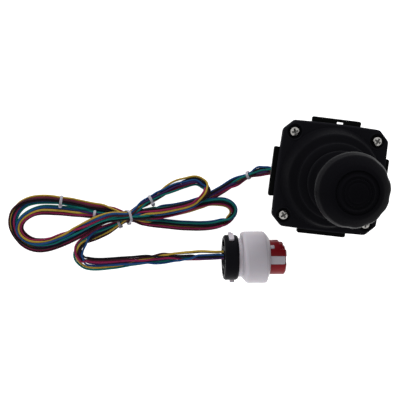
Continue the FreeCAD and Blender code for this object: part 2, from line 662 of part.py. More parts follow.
def make_stick_shaft():
    """The stick: a tail for the arch's slot, a waist in the block and a bored rod to the knob."""
    body = new_body("stick_shaft")
    profile = [
        ("0", "pivot - tail_length"), ("tail_radius - tail_bevel", "pivot - tail_length"),
        ("tail_radius", "pivot - tail_length + tail_bevel"),
        ("tail_radius", "pivot - block_height / 2 - waist_step"),
        ("stick_waist", "pivot - block_height / 2 - waist_step"),
        ("stick_waist", "pivot + block_height / 2"),
        ("stick_radius", "pivot + block_height / 2"), ("stick_radius", "stick_top"),
        ("lead_bore_radius", "stick_top"), ("lead_bore_radius", "pivot + lead_bore_floor"),
        ("0", "pivot + lead_bore_floor"),
    ]
    revolve(body, "XZ_Plane", "V_Axis", profile)
    bore = [("0", "pivot", "pin_radius + running_clearance")]
    extrude(body, "XZ_Plane", "-stick_waist", bore, "2 * stick_waist", cut=True)
    port = [("0", "pivot + lead_bore_floor + lead_bore_radius", "lead_bore_radius")]
    extrude(body, "YZ_Plane", "0", port, "stick_radius + cut_past", cut=True)
    return body


def make_button_lead():
    """The push button's pair of wires inside the stick."""
    body = new_body("button_lead")
    start = "pivot + lead_bore_floor + button_lead_gap"
    extrude(body, "XY_Plane", start, [("0", "0", "button_lead_radius")], f"carrier_top - ({start})")
    return body


def make_slotted_arch():
    """A bail under the ring. Its slot lets the stick's tail pass one way and carries it the other."""
    body = new_body("slotted_arch")
    trunnion = [("0", "pivot", "trunnion_radius")]
    outer_radius = "arch_inner + arch_thickness"
    steps = [-1, -0.75, -0.5, -0.25, 0, 0.25, 0.5, 0.75, 1]
    outside = [
        (f"{k} * (arm_outer)", f"pivot - sqrt(({outer_radius}) ^ 2 - ({k} * (arm_outer)) ^ 2)")
        for k in steps
    ]
    inside = [
        (f"{-k} * (arm_inner)", f"pivot - sqrt(arch_inner ^ 2 - ({k} * (arm_inner)) ^ 2)")
        for k in steps
    ]
    top = "pivot + arch_top"
    outline = [("-(arm_outer)", top)] + outside + [("arm_outer", top), ("arm_inner", top)]
    outline += inside + [("-(arm_inner)", top)]
    extrude(body, "YZ_Plane", "-arch_width / 2", [outline], "arch_width")
    reach = "trunnion_end - arm_outer"
    extrude(body, "XZ_Plane", "-trunnion_end", trunnion, reach)
    extrude(body, "XZ_Plane", "arm_outer", trunnion, reach)
    slot = centred("2 * (tail_radius + slot_clearance)", "slot_length")
    extrude(body, "XY_Plane", f"pivot - ({outer_radius})", [slot], "arch_inner", cut=True)
    anchor = [("0", "pivot + spring_radius", "spring_hole")]
    extrude(body, "XZ_Plane", "-arm_outer", anchor, "arch_arm", cut=True)
    return body


def make_magnet(name, role):
    body = new_body(name)
    extrude(body, role, "trunnion_end", [("0", "pivot", "magnet_radius")], "magnet_thickness")
    return body


def make_sensor_board(name, role):
    body = new_body(name)
    half = "sensor_board / 2"
    square = rectangle(f"-{half}", half, f"pivot - {half}", f"pivot + {half}")
    extrude(body, role, "sensor_face", [square], "sensor_board_thickness")
    return body


def make_sensor_chips():
    body = new_body("sensor_chips")
    half = "sensor_chip / 2"
    square = rectangle(f"-{half}", half, f"pivot - {half}", f"pivot + {half}")
    for role in ("YZ_Plane", "XZ_Plane"):
        extrude(body, role, "chip_face", [square], "sensor_chip_thickness")
    return body


def coil_shape(radius, wire, length, turns):
    """A round wire wound about Z from level 0 to length, as one solid."""
    spine = Part.makeHelix(length / turns, length, radius)
    start = FreeCAD.Vector(radius, 0, 0)
    section = Part.Wire([Part.makeCircle(wire, start, FreeCAD.Vector(0, 1, 0))])
    return Part.Wire(spine.Edges).makePipeShell([section], True, True)


def torsion_spring(name, turns_alias, seat, leg_seat, turn):
    """A coil about a trunnion, with a straight end in the frame and one in the moving part."""
    radius, wire = value("spring_radius"), value("spring_wire")
    start, end = value(seat), value(leg_seat)
    margin = 2 * wire
    length = end - start - 2 * margin
    coil = coil_shape(radius, wire, length, value(turns_alias))
    coil.translate(FreeCAD.Vector(0, 0, margin))
    leg = value("spring_leg") + margin + wire
    thick = value("spring_leg_share") * wire
    first = Part.makeCylinder(thick, leg, FreeCAD.Vector(radius, 0, margin + wire - leg))
    last = Part.makeCylinder(thick, leg, FreeCAD.Vector(radius, 0, margin + length - wire))
    shape = coil.fuse([first, last])
    item = own_shape(name, shape)
    place = FreeCAD.Placement(FreeCAD.Vector(0, 0, 0), turn)
    along = turn.multVec(FreeCAD.Vector(0, 0, start))
    place.Base = along + FreeCAD.Vector(0, 0, value("pivot"))
    item.Placement = place
    return item


# The electronics in the lower case

def make_circuit_board():
    body = new_body("circuit_board")
    square = centred("2 * board_half", "2 * board_half")
    extrude(body, "XY_Plane", "board_bottom", [square], "main_board_thickness")
    dress(body, "Chamfer", "board_corner", upright_at("board_half"))
    holes = four_circles("standoff_place", "board_screw_radius + screw_clearance")
    extrude(body, "XY_Plane", "board_bottom", holes, "main_board_thickness", cut=True)
    return body


def make_board_screws():
    body = new_body("board_screws")
    heads = four_circles("standoff_place", "board_screw_head")
    extrude(body, "XY_Plane", "board_top", heads, "board_screw_head_height")
    shanks = four_circles("standoff_place", "board_screw_radius")
    extrude(body, "XY_Plane", "board_top - board_screw_length", shanks, "board_screw_length")
    return body


def make_board_chips():
    """The controller, the voltage regulator and a row of small parts on the board."""
    body = new_body("board_chips")
    controller = block_at("0", "-controller_back", "controller_length", "controller_width")
    extrude(body, "XY_Plane", "board_top", [controller], "controller_height")
    regulator = block_at("0", "regulator_ahead", "regulator_side", "regulator_side")
    extrude(body, "XY_Plane", "board_top", [regulator], "regulator_height")
    small = [
        block_at(f"{step} * small_pitch", "small_ahead", "small_length", "small_width")
        for step in (-2, -1, 0, 1, 2)
    ]
    extrude(body, "XY_Plane", "board_top", small, "small_height")
    return body


def make_board_socket():
    body = new_body("board_socket")
    low, high = "-grommet_side - socket_width / 2", "-grommet_side + socket_width / 2"
    outline = rectangle("-socket_edge - socket_length", "-socket_edge", low, high)
    extrude(body, "XY_Plane", "board_top", [outline], "socket_height")
    return body


def make_cable_grommet():
    """A rubber grommet in the wall: flange, groove, and a tapered sleeve outside."""
    body = new_body("cable_grommet", base=("0", "-grommet_side", "grommet_height"))
    wall_out, wall_in = "-housing_half", "-inner_half"
    profile = [
        (f"{wall_in} + grommet_lip", "bundle_radius + running_clearance"),
        (f"{wall_in} + grommet_lip", "grommet_flange"),
        (wall_in, "grommet_flange"), (wall_in, "grommet_sleeve"),
        (wall_out, "grommet_sleeve"), (wall_out, "grommet_flange"),
        (f"{wall_out} - grommet_lip", "grommet_flange"),
        (f"{wall_out} - grommet_lip", "grommet_sleeve"),
        (f"{wall_out} - grommet_length", "grommet_tip"),
        (f"{wall_out} - grommet_length", "bundle_radius + running_clearance"),
    ]
    return revolve(body, "XZ_Plane", "H_Axis", profile)


# The knob and what is in it

def make_boot_collar():
    """The clamp ring that holds the bellows' neck."""
    body = new_body("boot_collar")
    outside = "boot_neck_radius + collar_wall"
    profile = rectangle("boot_neck_radius", outside, "collar_bottom + collar_gap", "neck_level")
    revolve(body, "XZ_Plane", "V_Axis", profile)
    return body


def make_knob_base():
    """The knob's underside, a cone from the neck out to the shell."""
    body = new_body("knob_base")
    rim = "knob_bottom_radius - knob_wall"
    profile = [
        ("insert_radius", "base_bottom"), ("base_neck_radius", "base_bottom"),
        ("base_neck_radius", "base_bottom + base_neck_height"),
        (f"{rim}", "knob_bottom"), (f"{rim}", "knob_bottom + base_wall"),
        (f"{rim} - base_ledge", "knob_bottom + base_wall"),
        ("carrier_radius + carrier_gap", "base_floor"), ("insert_radius", "base_floor"),
    ]
    return revolve(body, "XZ_Plane", "V_Axis", profile)


def make_knob_insert():
    """A metal sleeve in the knob's base, which also fills the bellows' neck."""
    body = new_body("knob_insert")
    height = "base_floor - (collar_bottom)"
    extrude(body, "XY_Plane", "collar_bottom", [("0", "0", "insert_radius")], height)
    extrude(body, "XY_Plane", "collar_bottom", [("0", "0", "stick_radius")], height, cut=True)
    return body


def make_knob_nut():
    body = new_body("knob_nut")
    corner = "nut_width / sqrt(3)"
    hexagon = [
        (f"{corner} * {math.cos(math.radians(a)):.6f}", f"{corner} * {math.sin(math.radians(a)):.6f}")
        for a in range(0, 360, 60)
    ]
    extrude(body, "XY_Plane", "base_floor", [hexagon], "nut_height")
    extrude(body, "XY_Plane", "base_floor", [("0", "0", "stick_radius")], "nut_height", cut=True)
    return body


def make_knob_shell():
    """A turned shell with shallow flutes round its rim."""
    body = new_body("knob_shell")
    outer = [
        ("knob_bottom_radius", "knob_bottom"),
        ("knob_radius - knob_lower_inset", "knob_level - knob_lower_drop"),
        ("knob_radius", "knob_level"),
        ("knob_radius - knob_upper_inset", "knob_level + knob_upper_rise"),
        ("knob_top_radius", "knob_level + knob_top_rise"),
        ("knob_shoulder_radius", "knob_level + knob_shoulder_rise"),
        ("crown_edge_radius", "crown_edge"),
    ]
    inner = [
        ("crown_edge_radius", "guide_bottom"),
        ("knob_shoulder_radius - knob_shoulder_wall", "guide_bottom"),
        ("knob_top_radius - knob_wall", "knob_level + knob_top_rise - knob_wall"),
        ("knob_radius - knob_wall - knob_inner_inset", "knob_level"),
        ("knob_bottom_radius - knob_wall", "knob_bottom + base_wall"),
        ("knob_bottom_radius - knob_wall", "knob_bottom"),
    ]
    revolve(body, "XZ_Plane", "V_Axis", outer + inner)
    reach = "knob_radius + flute_radius - flute_depth"
    sketch = new_sketch(body, "XY_Plane", "knob_bottom - cut_past")
    draw_circle(sketch, reach, "0", "flute_radius")
    flute = body.newObject("PartDesign::Pocket", "knob_flute")
    flute.Profile = sketch
    bind(flute, "Length", "knob_crown_rise + knob_skirt")
    flute.Reversed = True
    settle(body, True)
    ring = body.newObject("PartDesign::PolarPattern", "knob_flutes")
    ring.Originals = [flute]
    ring.Axis = (upright_axis(body), [""])
    ring.Angle = 360.0
    bind(ring, "Occurrences", "flute_count")
    body.Tip = ring
    settle(body, True)
    return body


def upright_axis(body):
    return next(f for f in body.Origin.OriginFeatures if f.Role == "Z_Axis")


def make_switch_carrier():
    """An upturned cup over the nut, which holds the switch."""
    body = new_body("switch_carrier")
    profile = [
        ("lead_bore_radius", "carrier_top - carrier_wall"),
        ("carrier_radius - carrier_wall", "carrier_top - carrier_wall"),
        ("carrier_radius - carrier_wall", "carrier_bottom"), ("carrier_radius", "carrier_bottom"),
        ("carrier_radius", "carrier_top"), ("lead_bore_radius", "carrier_top"),
    ]
    return revolve(body, "XZ_Plane", "V_Axis", profile)


def make_button_switch():
    body = new_body("button_switch")
    extrude(body, "XY_Plane", "carrier_top", [centred("switch_width", "switch_width")], "switch_height")
    extrude(body, "XY_Plane", "switch_top", [("0", "0", "plunger_radius")], "plunger_height")
    return body


def make_button_guide():
    """The ring under the diaphragm that guides the button."""
    body = new_body("button_guide")
    profile = rectangle(
        "button_radius + button_gap", "crown_edge_radius", "guide_bottom", "guide_top - diaphragm_seat"
    )
    revolve(body, "XZ_Plane", "V_Axis", profile)
    return body


def make_button_diaphragm():
    """The thin rubber ring between the crown's edge and the button."""
    body = new_body("button_diaphragm")
    inside = "button_radius + button_gap"
    profile = [
        ("crown_edge_radius", "guide_top - diaphragm_seat"), ("crown_edge_radius", "crown_edge"),
        (inside, "crown - button_sink"), (inside, "button_face"),
        (f"{inside} + diaphragm_lip", "button_face"),
        ("crown_edge_radius - diaphragm_foot", "guide_top - diaphragm_seat"),
    ]
    return revolve(body, "XZ_Plane", "V_Axis", profile)


def make_push_button():
    """The moving crown: a shallow dome, a guided skirt and a stem over the switch."""
    body = new_body("push_button")
    skirt = "button_radius - button_skirt"
    stem_end = "plunger_top + button_travel + button_gap"
    profile = [
        ("0", stem_end), ("button_stem", stem_end), ("button_stem", "button_ceiling"),
        (skirt, "button_ceiling"), (skirt, "button_bottom"), ("button_radius", "button_bottom"),
        ("button_radius", "crown - button_sink"),
        ("button_radius - button_edge", "button_rim + button_edge_rise"),
        ("button_radius / 2", "crown - button_edge_rise"), ("0", "crown"),
    ]
    return revolve(body, "XZ_Plane", "V_Axis", profile)


def make_button_spring():
    wire = value("button_spring_wire")
    low = value("carrier_top") + 2 * wire
    high = value("button_ceiling") - 2 * wire
    shape = coil_shape(value("button_spring_radius"), wire, high - low, value("button_spring_turns"))
    item = own_shape("button_spring", shape)
    item.Placement = FreeCAD.Placement(FreeCAD.Vector(0, 0, low), FreeCAD.Rotation())
    return item


# The harness. Its points are chosen by hand along the run seen in the picture.

LEAD_POINTS = [
    (-17, -2.5, 14), (-32, -2.5, 14), (-42, -5.5, 10.5), (-50, -10.5, 5.7), (-59, -17.5, 3.3),
    (-69, -25.5, 3.2), (-79, -31, 3.3),
]
TAIL_POINTS = [
    (-127, -52, 5), (-138, -56, 2.6), (-147.5, -60, 2.45), (-154.5, -66, 2.45),
    (-156, -74, 2.45), (-151.5, -80.5, 2.45), (-143, -82.5, 2.45), (-128, -80, 2.45),
    (-107, -76, 2.45), (-90, -73, 4), (-77, -70, 9), (-65, -67, 15), (-53, -64.5, 17.6),
]
HANK_LEFT = [
    (-126, -39), (-137, -40), (-148, -39), (-160, -38), (-184, -38), (-195, -41), (-202, -47),
    (-205, -55), (-204, -63), (-201, -70), (-195, -76), (-185, -78), (-175, -77), (-165, -72),
    (-156, -66), (-147, -59), (-135, -53), (-125, -51),
]
HANK_RIGHT = [
    (-126, -41), (-117, -34), (-110, -29), (-98, -18), (-90, -14), (-82, -13), (-74, -14),
    (-69, -19), (-67, -25), (-61, -26), (-54, -27), (-50, -31), (-49, -35), (-51, -40),
    (-56, -45), (-64, -49), (-74, -51), (-85, -52), (-99, -52), (-110, -52), (-124, -52),
]
HANK_HOLES = [
    [(-147, -49), (-160, -51), (-171, -50), (-180, -51), (-188, -53), (-193, -59), (-192, -64),
     (-188, -68), (-180, -68), (-172, -65), (-165, -60), (-156, -54)],
    [(-104, -35), (-96, -25), (-88, -20), (-81, -20), (-77, -24), (-81, -30), (-92, -34)],
    [(-100, -45), (-88, -39), (-76, -34), (-65, -32), (-58, -34), (-61, -40), (-70, -44), (-85, -45)],
]

# The small ties round the hank: place, yaw and the bunch's width. The bunch's own tie has KNOT_YAW.
HANK_TIES = [(-172, -43.5, 2, 9), (-110.5, -33, 38, 9), (-148, -47.5, 0, 8)]
KNOT_YAW = -2


def tube_path(points):
    """Straight runs joined by tangent arcs. An arc ends at most 0.45 of the shorter run from its corner."""
    places = [FreeCAD.Vector(*p) for p in points]
    edges, last, radii = [], places[0], []
    for before, corner, after in zip(places, places[1:], places[2:]):
        back, ahead = before - corner, after - corner
        shorter = min(back.Length, ahead.Length)
        back.normalize()
        ahead.normalize()
        turn = math.pi - back.getAngle(ahead)
        trim = 0.45 * shorter
        radius = trim / math.tan(turn / 2)
        radii.append(round(radius, 1))
        start, end = corner + back * trim, corner + ahead * trim
        inward = (back + ahead).normalize()
        middle = corner + inward * (radius / math.cos(turn / 2) - radius)
        edges.append(Part.LineSegment(last, start).toShape())
        edges.append(Part.Arc(start, middle, end).toShape())
        last = end
    edges.append(Part.LineSegment(last, places[-1]).toShape())
    return Part.Wire(edges), radii


def make_tube(name, points):
    path, radii = tube_path(points)
    radius = value("bundle_radius")
    start = FreeCAD.Vector(*points[0])
    ahead = FreeCAD.Vector(*points[1]) - start
    section = Part.Wire([Part.makeCircle(radius, start, ahead)])
    shape = path.makePipeShell([section], True, False)
    expected = math.pi * radius ** 2 * path.Length
    print(name, "radii", radii, "length", round(path.Length, 1),
          "volume share", round(shape.Volume / expected, 4))
    return own_shape(name, shape)


def flat_loop(points, height, level):
    """A closed smooth outline through the points, pulled up to height."""
    curve = Part.BSplineCurve()
    curve.interpolate([FreeCAD.Vector(x, y, level) for x, y in points], PeriodicFlag=True)
    face = Part.Face(Part.Wire([curve.toShape()]))
    return face.extrude(FreeCAD.Vector(0, 0, height))


def make_hank():
    """The wound figure of eight: two flat lobes with their openings, and the bunch at the tie."""
    height, level, past = value("hank_height"), value("hank_level"), value("cut_past")
    shape = flat_loop(HANK_LEFT, height, level).fuse(flat_loop(HANK_RIGHT, height, level))
    for hole in HANK_HOLES:
        shape = shape.cut(flat_loop(hole, height + 2 * past, -past))
    length, width = value("hank_knot_length"), value("hank_knot_width")
    left, front = value("hank_knot_along") - length / 2, value("hank_knot_across") - width / 2
    knot = Part.makeBox(length, width, value("hank_knot_height"), FreeCAD.Vector(left, front, level))
    return own_shape("harness_hank", shape.fuse(knot).removeSplitter())


def tie_ring(place, direction, across, up):
    """A band round a bunch that is so wide across and so high, with its lock head on top.
    place is the middle of the bunch and direction the way it runs."""
    wall, width, past = value("tie_wall"), value("tie_width"), value("cut_past")
    outer = Part.makeBox(width, across + 2 * wall, up + 2 * wall,
                         FreeCAD.Vector(-width / 2, -across / 2 - wall, -up / 2 - wall))
    outer = outer.makeFillet(min(across, up) * 0.3, [
        e for e in outer.Edges if abs(e.BoundBox.XLength - width) < 1e-4
    ])
    inner = Part.makeBox(width + 2 * past, across, up,
                         FreeCAD.Vector(-width / 2 - past, -across / 2, -up / 2))
    inner = inner.makeFillet(min(across, up) * 0.25, [
        e for e in inner.Edges if abs(e.BoundBox.XLength - width - 2 * past) < 1e-4
    ])
    margin, head_width = value("tie_head_margin"), value("tie_head_width")
    head = Part.makeBox(width + 2 * margin, head_width, value("tie_head_height"),
                        FreeCAD.Vector(-width / 2 - margin, -head_width / 2, up / 2 + wall / 2))
    ring = outer.fuse(head).cut(inner)
    yaw = math.degrees(math.atan2(direction.y, direction.x))
    rise = math.degrees(math.atan2(direction.z, math.hypot(direction.x, direction.y)))
    ring.rotate(FreeCAD.Vector(0, 0, 0), FreeCAD.Vector(0, 1, 0), -rise)
    ring.rotate(FreeCAD.Vector(0, 0, 0), FreeCAD.Vector(0, 0, 1), yaw)
    ring.translate(place)
    return ring


def along_path(points, distance):
    """The place and the direction so far along a tube's path."""
    path, _ = tube_path(points)
    for edge in path.Edges:
        if distance <= edge.Length:
            at = edge.getParameterByLength(distance)
            return edge.valueAt(at), edge.tangentAt(at)
        distance -= edge.Length
    raise RuntimeError("the tie lies past the end of the path")


def make_ties(name, ties):
    return own_shape(name, Part.makeCompound([tie_ring(*tie) for tie in ties]))


def level_way(yaw):
    return FreeCAD.Vector(math.cos(math.radians(yaw)), math.sin(math.radians(yaw)), 0)


def make_harness():
    make_tube("harness_lead", LEAD_POINTS)
    make_tube("harness_tail", TAIL_POINTS)
    make_hank()
    bundle = value("2 * (bundle_radius + tie_gap)")
    make_ties("harness_ties", [
        (*along_path(LEAD_POINTS, value("tie_one_place")), bundle, bundle),
        (*along_path(LEAD_POINTS, value("tie_two_place")), bundle, bundle),
        (*along_path(TAIL_POINTS, value("tie_tail_place")), bundle, bundle),
    ])
    wall, high, knot = value("tie_wall"), value("hank_height"), value("hank_knot_height")
    middle = (value("hank_knot_along"), value("hank_knot_across"))
    ties = [(x, y, yaw, across, high) for x, y, yaw, across in HANK_TIES]
    ties.append((*middle, KNOT_YAW, value("hank_knot_width"), knot))
    lift = wall + value("tie_lift")
    make_ties("hank_ties", [
        (FreeCAD.Vector(x, y, lift + up / 2), level_way(yaw), across, up)
        for x, y, yaw, across, up in ties
    ])


# The plug, made along X from its rear and laid on its side

def plug_body_at(name):
    return new_body(
        name, base=("plug_along", "plug_across", "plug_radius"),
        turn=(FreeCAD.Vector(0, 0, 1), "plug_yaw"),
    )


def make_plug_body():
    body = plug_body_at("plug_body")
    profile = [
        ("plug_neck_start", "0"), ("plug_neck_start", "plug_neck_radius"),
        ("plug_neck_end", "plug_neck_radius"),
        ("plug_shoulder - plug_edge", "plug_radius - plug_edge_step"),
        ("plug_shoulder", "plug_radius"), ("plug_front_shoulder", "plug_radius"),
        ("plug_length - plug_front_edge", "plug_front_radius + plug_front_step"),
        ("plug_length", "plug_front_radius"),
        ("plug_length", "core_radius"), ("plug_cavity", "core_radius"), ("plug_cavity", "0"),
    ]
    return revolve(body, "XY_Plane", "H_Axis", profile)


def make_plug_cage():
    """The wire retainer: a rim, an eye for the wires and four spokes."""
    body = plug_body_at("plug_cage")
    rim = [
        ("0", "cage_radius - cage_rim"), ("0", "cage_radius - cage_bevel"),
        ("cage_bevel_length", "cage_radius"),
        ("cage_length", "cage_radius"), ("cage_length", "plug_neck_radius"),
        ("seal_start", "plug_neck_radius"), ("seal_start", "seal_radius"),
        ("seal_start - cage_seat_step", "cage_radius - cage_rim"),
    ]
    revolve(body, "XY_Plane", "H_Axis", rim)
    eye = rectangle("0", "cage_rear + cage_eye_reach", "cage_eye", "cage_eye + cage_eye_wall")
    revolve(body, "XY_Plane", "H_Axis", eye)
    half, reach = "cage_spoke / 2", "cage_radius - cage_rim / 2"
    for quarter in range(4):
        spoke = rectangle(f"-{half}", half, "cage_eye + cage_eye_wall / 2", reach)
        extrude(body, "YZ_Plane", "0", [turned_outline(spoke, quarter)], "cage_rear")
    half = "nub_width / 2"
    nub = rectangle(f"-{half}", half, "-clip_reach + nub_setback", "-cage_radius + cage_rim / 2")
    extrude(body, "YZ_Plane", "nub_start", [turned_outline(nub, 3)], "nub_length")
    return body


def make_plug_clip():
    """The latch on the cage's side."""
    body = plug_body_at("plug_clip")
    half = "clip_width / 2"
    latch = [
        ("cage_radius + clip_gap", f"-{half}"), ("clip_reach", f"-{half} + clip_bevel"),
        ("clip_reach", f"{half} - clip_bevel"), ("cage_radius + clip_gap", half),
    ]
    extrude(body, "YZ_Plane", "clip_start", [latch], "clip_length")
    dress(body, "Fillet", "clip_round", lambda edge: edge.Length > 2)
    return body


def make_wire_seal():
    body = plug_body_at("wire_seal")
    extrude(body, "YZ_Plane", "seal_start", [("0", "0", "seal_radius")], "seal_thickness")
    return body


def make_plug_core():
    """The contact carrier: a stepped round core with a keyway on top and one below."""
    body = plug_body_at("plug_core")
    profile = [
        ("plug_cavity", "0"), ("plug_cavity", "core_radius"),
        ("core_end - core_edge", "core_radius"), ("core_end", "core_radius - core_edge"),
        ("core_end", "core_waist"), ("core_end - core_dish", "core_waist - core_dish"),
        ("core_end - core_dish", "0"),
    ]
    revolve(body, "XY_Plane", "H_Axis", profile)
    half, past = "key_width / 2", "core_radius + cut_past"
    for quarter in (0, 2):
        keyway = rectangle(f"-{half}", half, "core_radius - key_depth", past)
        extrude(body, "YZ_Plane", "plug_length", [turned_outline(keyway, quarter)], "core_length", cut=True)
    half, start = "core_groove / 2", "plug_length + core_groove_start"
    for quarter in (1, 3):
        groove = rectangle(f"-{half}", half, "core_radius - core_groove_depth", past)
        extrude(body, "YZ_Plane", start, [turned_outline(groove, quarter)], "core_length", cut=True)
    bores = contact_circles("contact_radius + contact_gap")
    extrude(body, "YZ_Plane", "core_end - contact_depth", bores, "contact_depth + cut_past", cut=True)
    return body


def contact_circles(radius):
    circles = [("0", "0", radius)]
    for i in range(6):
        angle = math.radians(60 * i + 30)
        circles.append((f"contact_circle * {math.cos(angle):.6f}",
                        f"contact_circle * {math.sin(angle):.6f}", radius))
    return circles


def make_plug_contacts():
    body = plug_body_at("plug_contacts")
    start = "core_end - contact_depth"
    extrude(body, "YZ_Plane", start, contact_circles("contact_radius"), "contact_length")
    return body


def make_plug_keys():
    """Two white locking bars that lie in the core's keyways."""
    body = plug_body_at("plug_keys")
    half = "key_width / 2 - key_side_gap"
    for quarter in (0, 2):
        key = rectangle(f"-({half})", half, "core_radius - key_depth", "core_radius - key_sink")
        extrude(body, "YZ_Plane", "plug_length", [turned_outline(key, quarter)], "core_length - key_setback")
    return body


for make in (
    make_bottom_cover, make_housing_shell, make_housing_screws, make_mounting_plate,
    make_boot_flange, make_compression_sleeves, make_flange_screws, make_bellows_lower,
    make_bellows_upper, make_gimbal_frame, make_limit_plate, make_frame_screws,
    make_gimbal_ring, make_pivot_pin, make_stick_block, make_grub_screw, make_stick_shaft,
    make_button_lead, make_slotted_arch, make_sensor_chips, make_circuit_board,
    make_board_screws, make_board_chips, make_board_socket, make_cable_grommet,
    make_boot_collar, make_knob_base, make_knob_insert, make_knob_nut, make_knob_shell,
    make_switch_carrier, make_button_switch, make_button_guide, make_button_diaphragm,
    make_push_button, make_button_spring, make_harness, make_plug_body, make_plug_cage,
    make_plug_clip, make_wire_seal, make_plug_core, make_plug_contacts, make_plug_keys,
):
    make()
make_bushes("ring_bushes", "YZ_Plane")
make_bushes("arch_bushes", "XZ_Plane")
make_magnet("magnet_x", "YZ_Plane")
make_magnet("magnet_y", "XZ_Plane")
make_sensor_board("sensor_board_x", "YZ_Plane")
make_sensor_board("sensor_board_y", "XZ_Plane")
# The coils start with their straight end above the trunnion, in the frame's wall
X_TURN = FreeCAD.Rotation(FreeCAD.Vector(0, 0, 1), FreeCAD.Vector(0, 1, 0), FreeCAD.Vector(1, 0, 0), "ZXY")
Y_TURN = FreeCAD.Rotation(FreeCAD.Vector(0, 0, 1), FreeCAD.Vector(-1, 0, 0), FreeCAD.Vector(0, 1, 0), "ZXY")
torsion_spring("return_spring_x", "spring_turns_ring", "-frame_inner", "-ring_length / 2", X_TURN)
torsion_spring("return_spring_y", "spring_turns_arch", "-frame_inner", "-(arm_outer)", Y_TURN)

doc.recompute()

sub_parts = [
    item for item in doc.Objects
    if item.TypeId == "PartDesign::Body" or item.TypeId == "Part::Feature"
]
for item in doc.Objects:
    if "Invalid" in item.State or "Error" in item.State:
        raise RuntimeError(f"{item.Name} failed: {item.State}")
for item in sub_parts:
    if item.Shape.isNull() or not item.Shape.isValid():
        raise RuntimeError(f"{item.Label} has no valid shape")
for item in sub_parts:
    item.Shape.exportStep(f"parts/{item.Label}.step")
    print(item.Label, len(item.Shape.Solids), round(item.Shape.Volume, 2))
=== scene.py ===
import json
import math

import bpy
import numpy as np
from bpy.props import FloatProperty, FloatVectorProperty, IntProperty, PointerProperty
from mathutils import Matrix

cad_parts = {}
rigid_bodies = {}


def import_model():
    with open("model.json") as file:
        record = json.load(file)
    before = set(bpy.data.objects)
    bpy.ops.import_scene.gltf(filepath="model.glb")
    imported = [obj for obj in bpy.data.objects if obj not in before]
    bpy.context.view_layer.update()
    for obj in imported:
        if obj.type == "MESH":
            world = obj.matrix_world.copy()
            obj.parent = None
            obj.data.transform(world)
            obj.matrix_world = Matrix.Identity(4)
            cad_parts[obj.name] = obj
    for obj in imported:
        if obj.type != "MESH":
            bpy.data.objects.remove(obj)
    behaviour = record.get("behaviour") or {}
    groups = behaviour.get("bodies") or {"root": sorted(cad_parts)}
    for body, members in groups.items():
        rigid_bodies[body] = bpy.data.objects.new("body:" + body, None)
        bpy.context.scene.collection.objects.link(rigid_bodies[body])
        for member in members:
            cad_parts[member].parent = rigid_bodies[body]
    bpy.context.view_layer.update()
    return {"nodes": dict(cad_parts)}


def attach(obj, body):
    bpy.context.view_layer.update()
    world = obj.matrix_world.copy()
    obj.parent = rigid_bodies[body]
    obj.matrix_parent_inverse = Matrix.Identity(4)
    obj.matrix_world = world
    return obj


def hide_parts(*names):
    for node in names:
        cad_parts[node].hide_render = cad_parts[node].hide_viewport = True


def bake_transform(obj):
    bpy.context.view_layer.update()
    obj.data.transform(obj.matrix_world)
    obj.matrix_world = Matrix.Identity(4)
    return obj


bl_info = {
    "name": "Industrial joystick",
    "version": (1, 0, 0),
    "blender": (4, 5, 0),
    "location": "View3D > Sidebar > Joystick",
    "description": "Dresses a two-axis joystick: rubber boot, fluted knob, wire harness and round plug",
    "category": "Add Mesh",
}

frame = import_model()
MM = 0.001

PLATE_TOP = 47.0
FLANGE_TOP = 52.0
SPLIT_LEVEL = 75.15
NECK_LEVEL = 98.0
SCREW_PLACE = 27.0
PLUG_ORIGIN = (-58.7, -65.2, 17.6)
PLUG_YAW = math.radians(6.7)


# What a user would change

def colour_setting(name, description, default):
    """A colour for the sidebar."""
    return FloatVectorProperty(name=name, description=description, subtype="COLOR", default=default)


def length_setting(name, description, default):
    """A length for the sidebar, whose default is given in millimetres."""
    return FloatProperty(name=name, description=description, default=default * MM, unit="LENGTH")


class BootSettings(bpy.types.PropertyGroup):
    """The rubber boot and its flange."""
    wall: length_setting("Wall", "Thickness of the boot's skin", 1.2)
    crest: length_setting("Crest", "Rounding of the boot's ridges and folds", 1.5)
    recess_slope: length_setting("Recess slope", "Width of the soft edge round each screw", 0.5)
    colour: colour_setting("Rubber", "Colour of the flange and the grommet", (0.0058, 0.0057, 0.0072))
    # Painted shade: the folds are the flange's rubber at half its colour, standing for the shade over the
    # bellows
    folds: colour_setting("Folds", "Colour of the boot's folds", (0.0029, 0.00285, 0.0036))


class KnobSettings(bpy.types.PropertyGroup):
    """The palm knob and its crown."""
    flutes: IntProperty(name="Flutes", description="Number of shallow flutes round the rim", default=12)
    flute_depth: length_setting("Flute depth", "Depth of a flute at the rim", 0.6)
    colour: colour_setting("Knob", "Colour of the knob", (0.0024, 0.0023, 0.0031))


class HarnessSettings(bpy.types.PropertyGroup):
    """Seven wires, wound in a figure of eight and tied."""
    wire: length_setting("Wire", "Diameter over a wire's cover", 1.4)
    tie_width: length_setting("Tie width", "Width of a cable tie's strap", 1.8)
    tie_thickness: length_setting("Tie thickness", "Thickness of a cable tie's strap", 0.6)
    yellow: colour_setting("Yellow", "Cover of the yellow wire", (0.285, 0.19, 0.027))
    crimson: colour_setting("Crimson", "Cover of the crimson wire", (0.1575, 0.009333, 0.04375))
    blue: colour_setting("Blue", "Cover of the blue wire", (0.007778, 0.03889, 0.1222))
    green: colour_setting("Green", "Cover of the green wire", (0.002778, 0.09444, 0.08333))
    black: colour_setting("Black", "Cover of the black wire", (0.002778, 0.002778, 0.004444))
    violet: colour_setting("Violet", "Cover of the violet wire", (0.025, 0.01, 0.05278))
    brown: colour_setting("Brown", "Cover of the brown wire", (0.03056, 0.007778, 0.01333))
    tie: colour_setting("Tie", "Nylon of the cable ties", (0.25, 0.2417, 0.275))


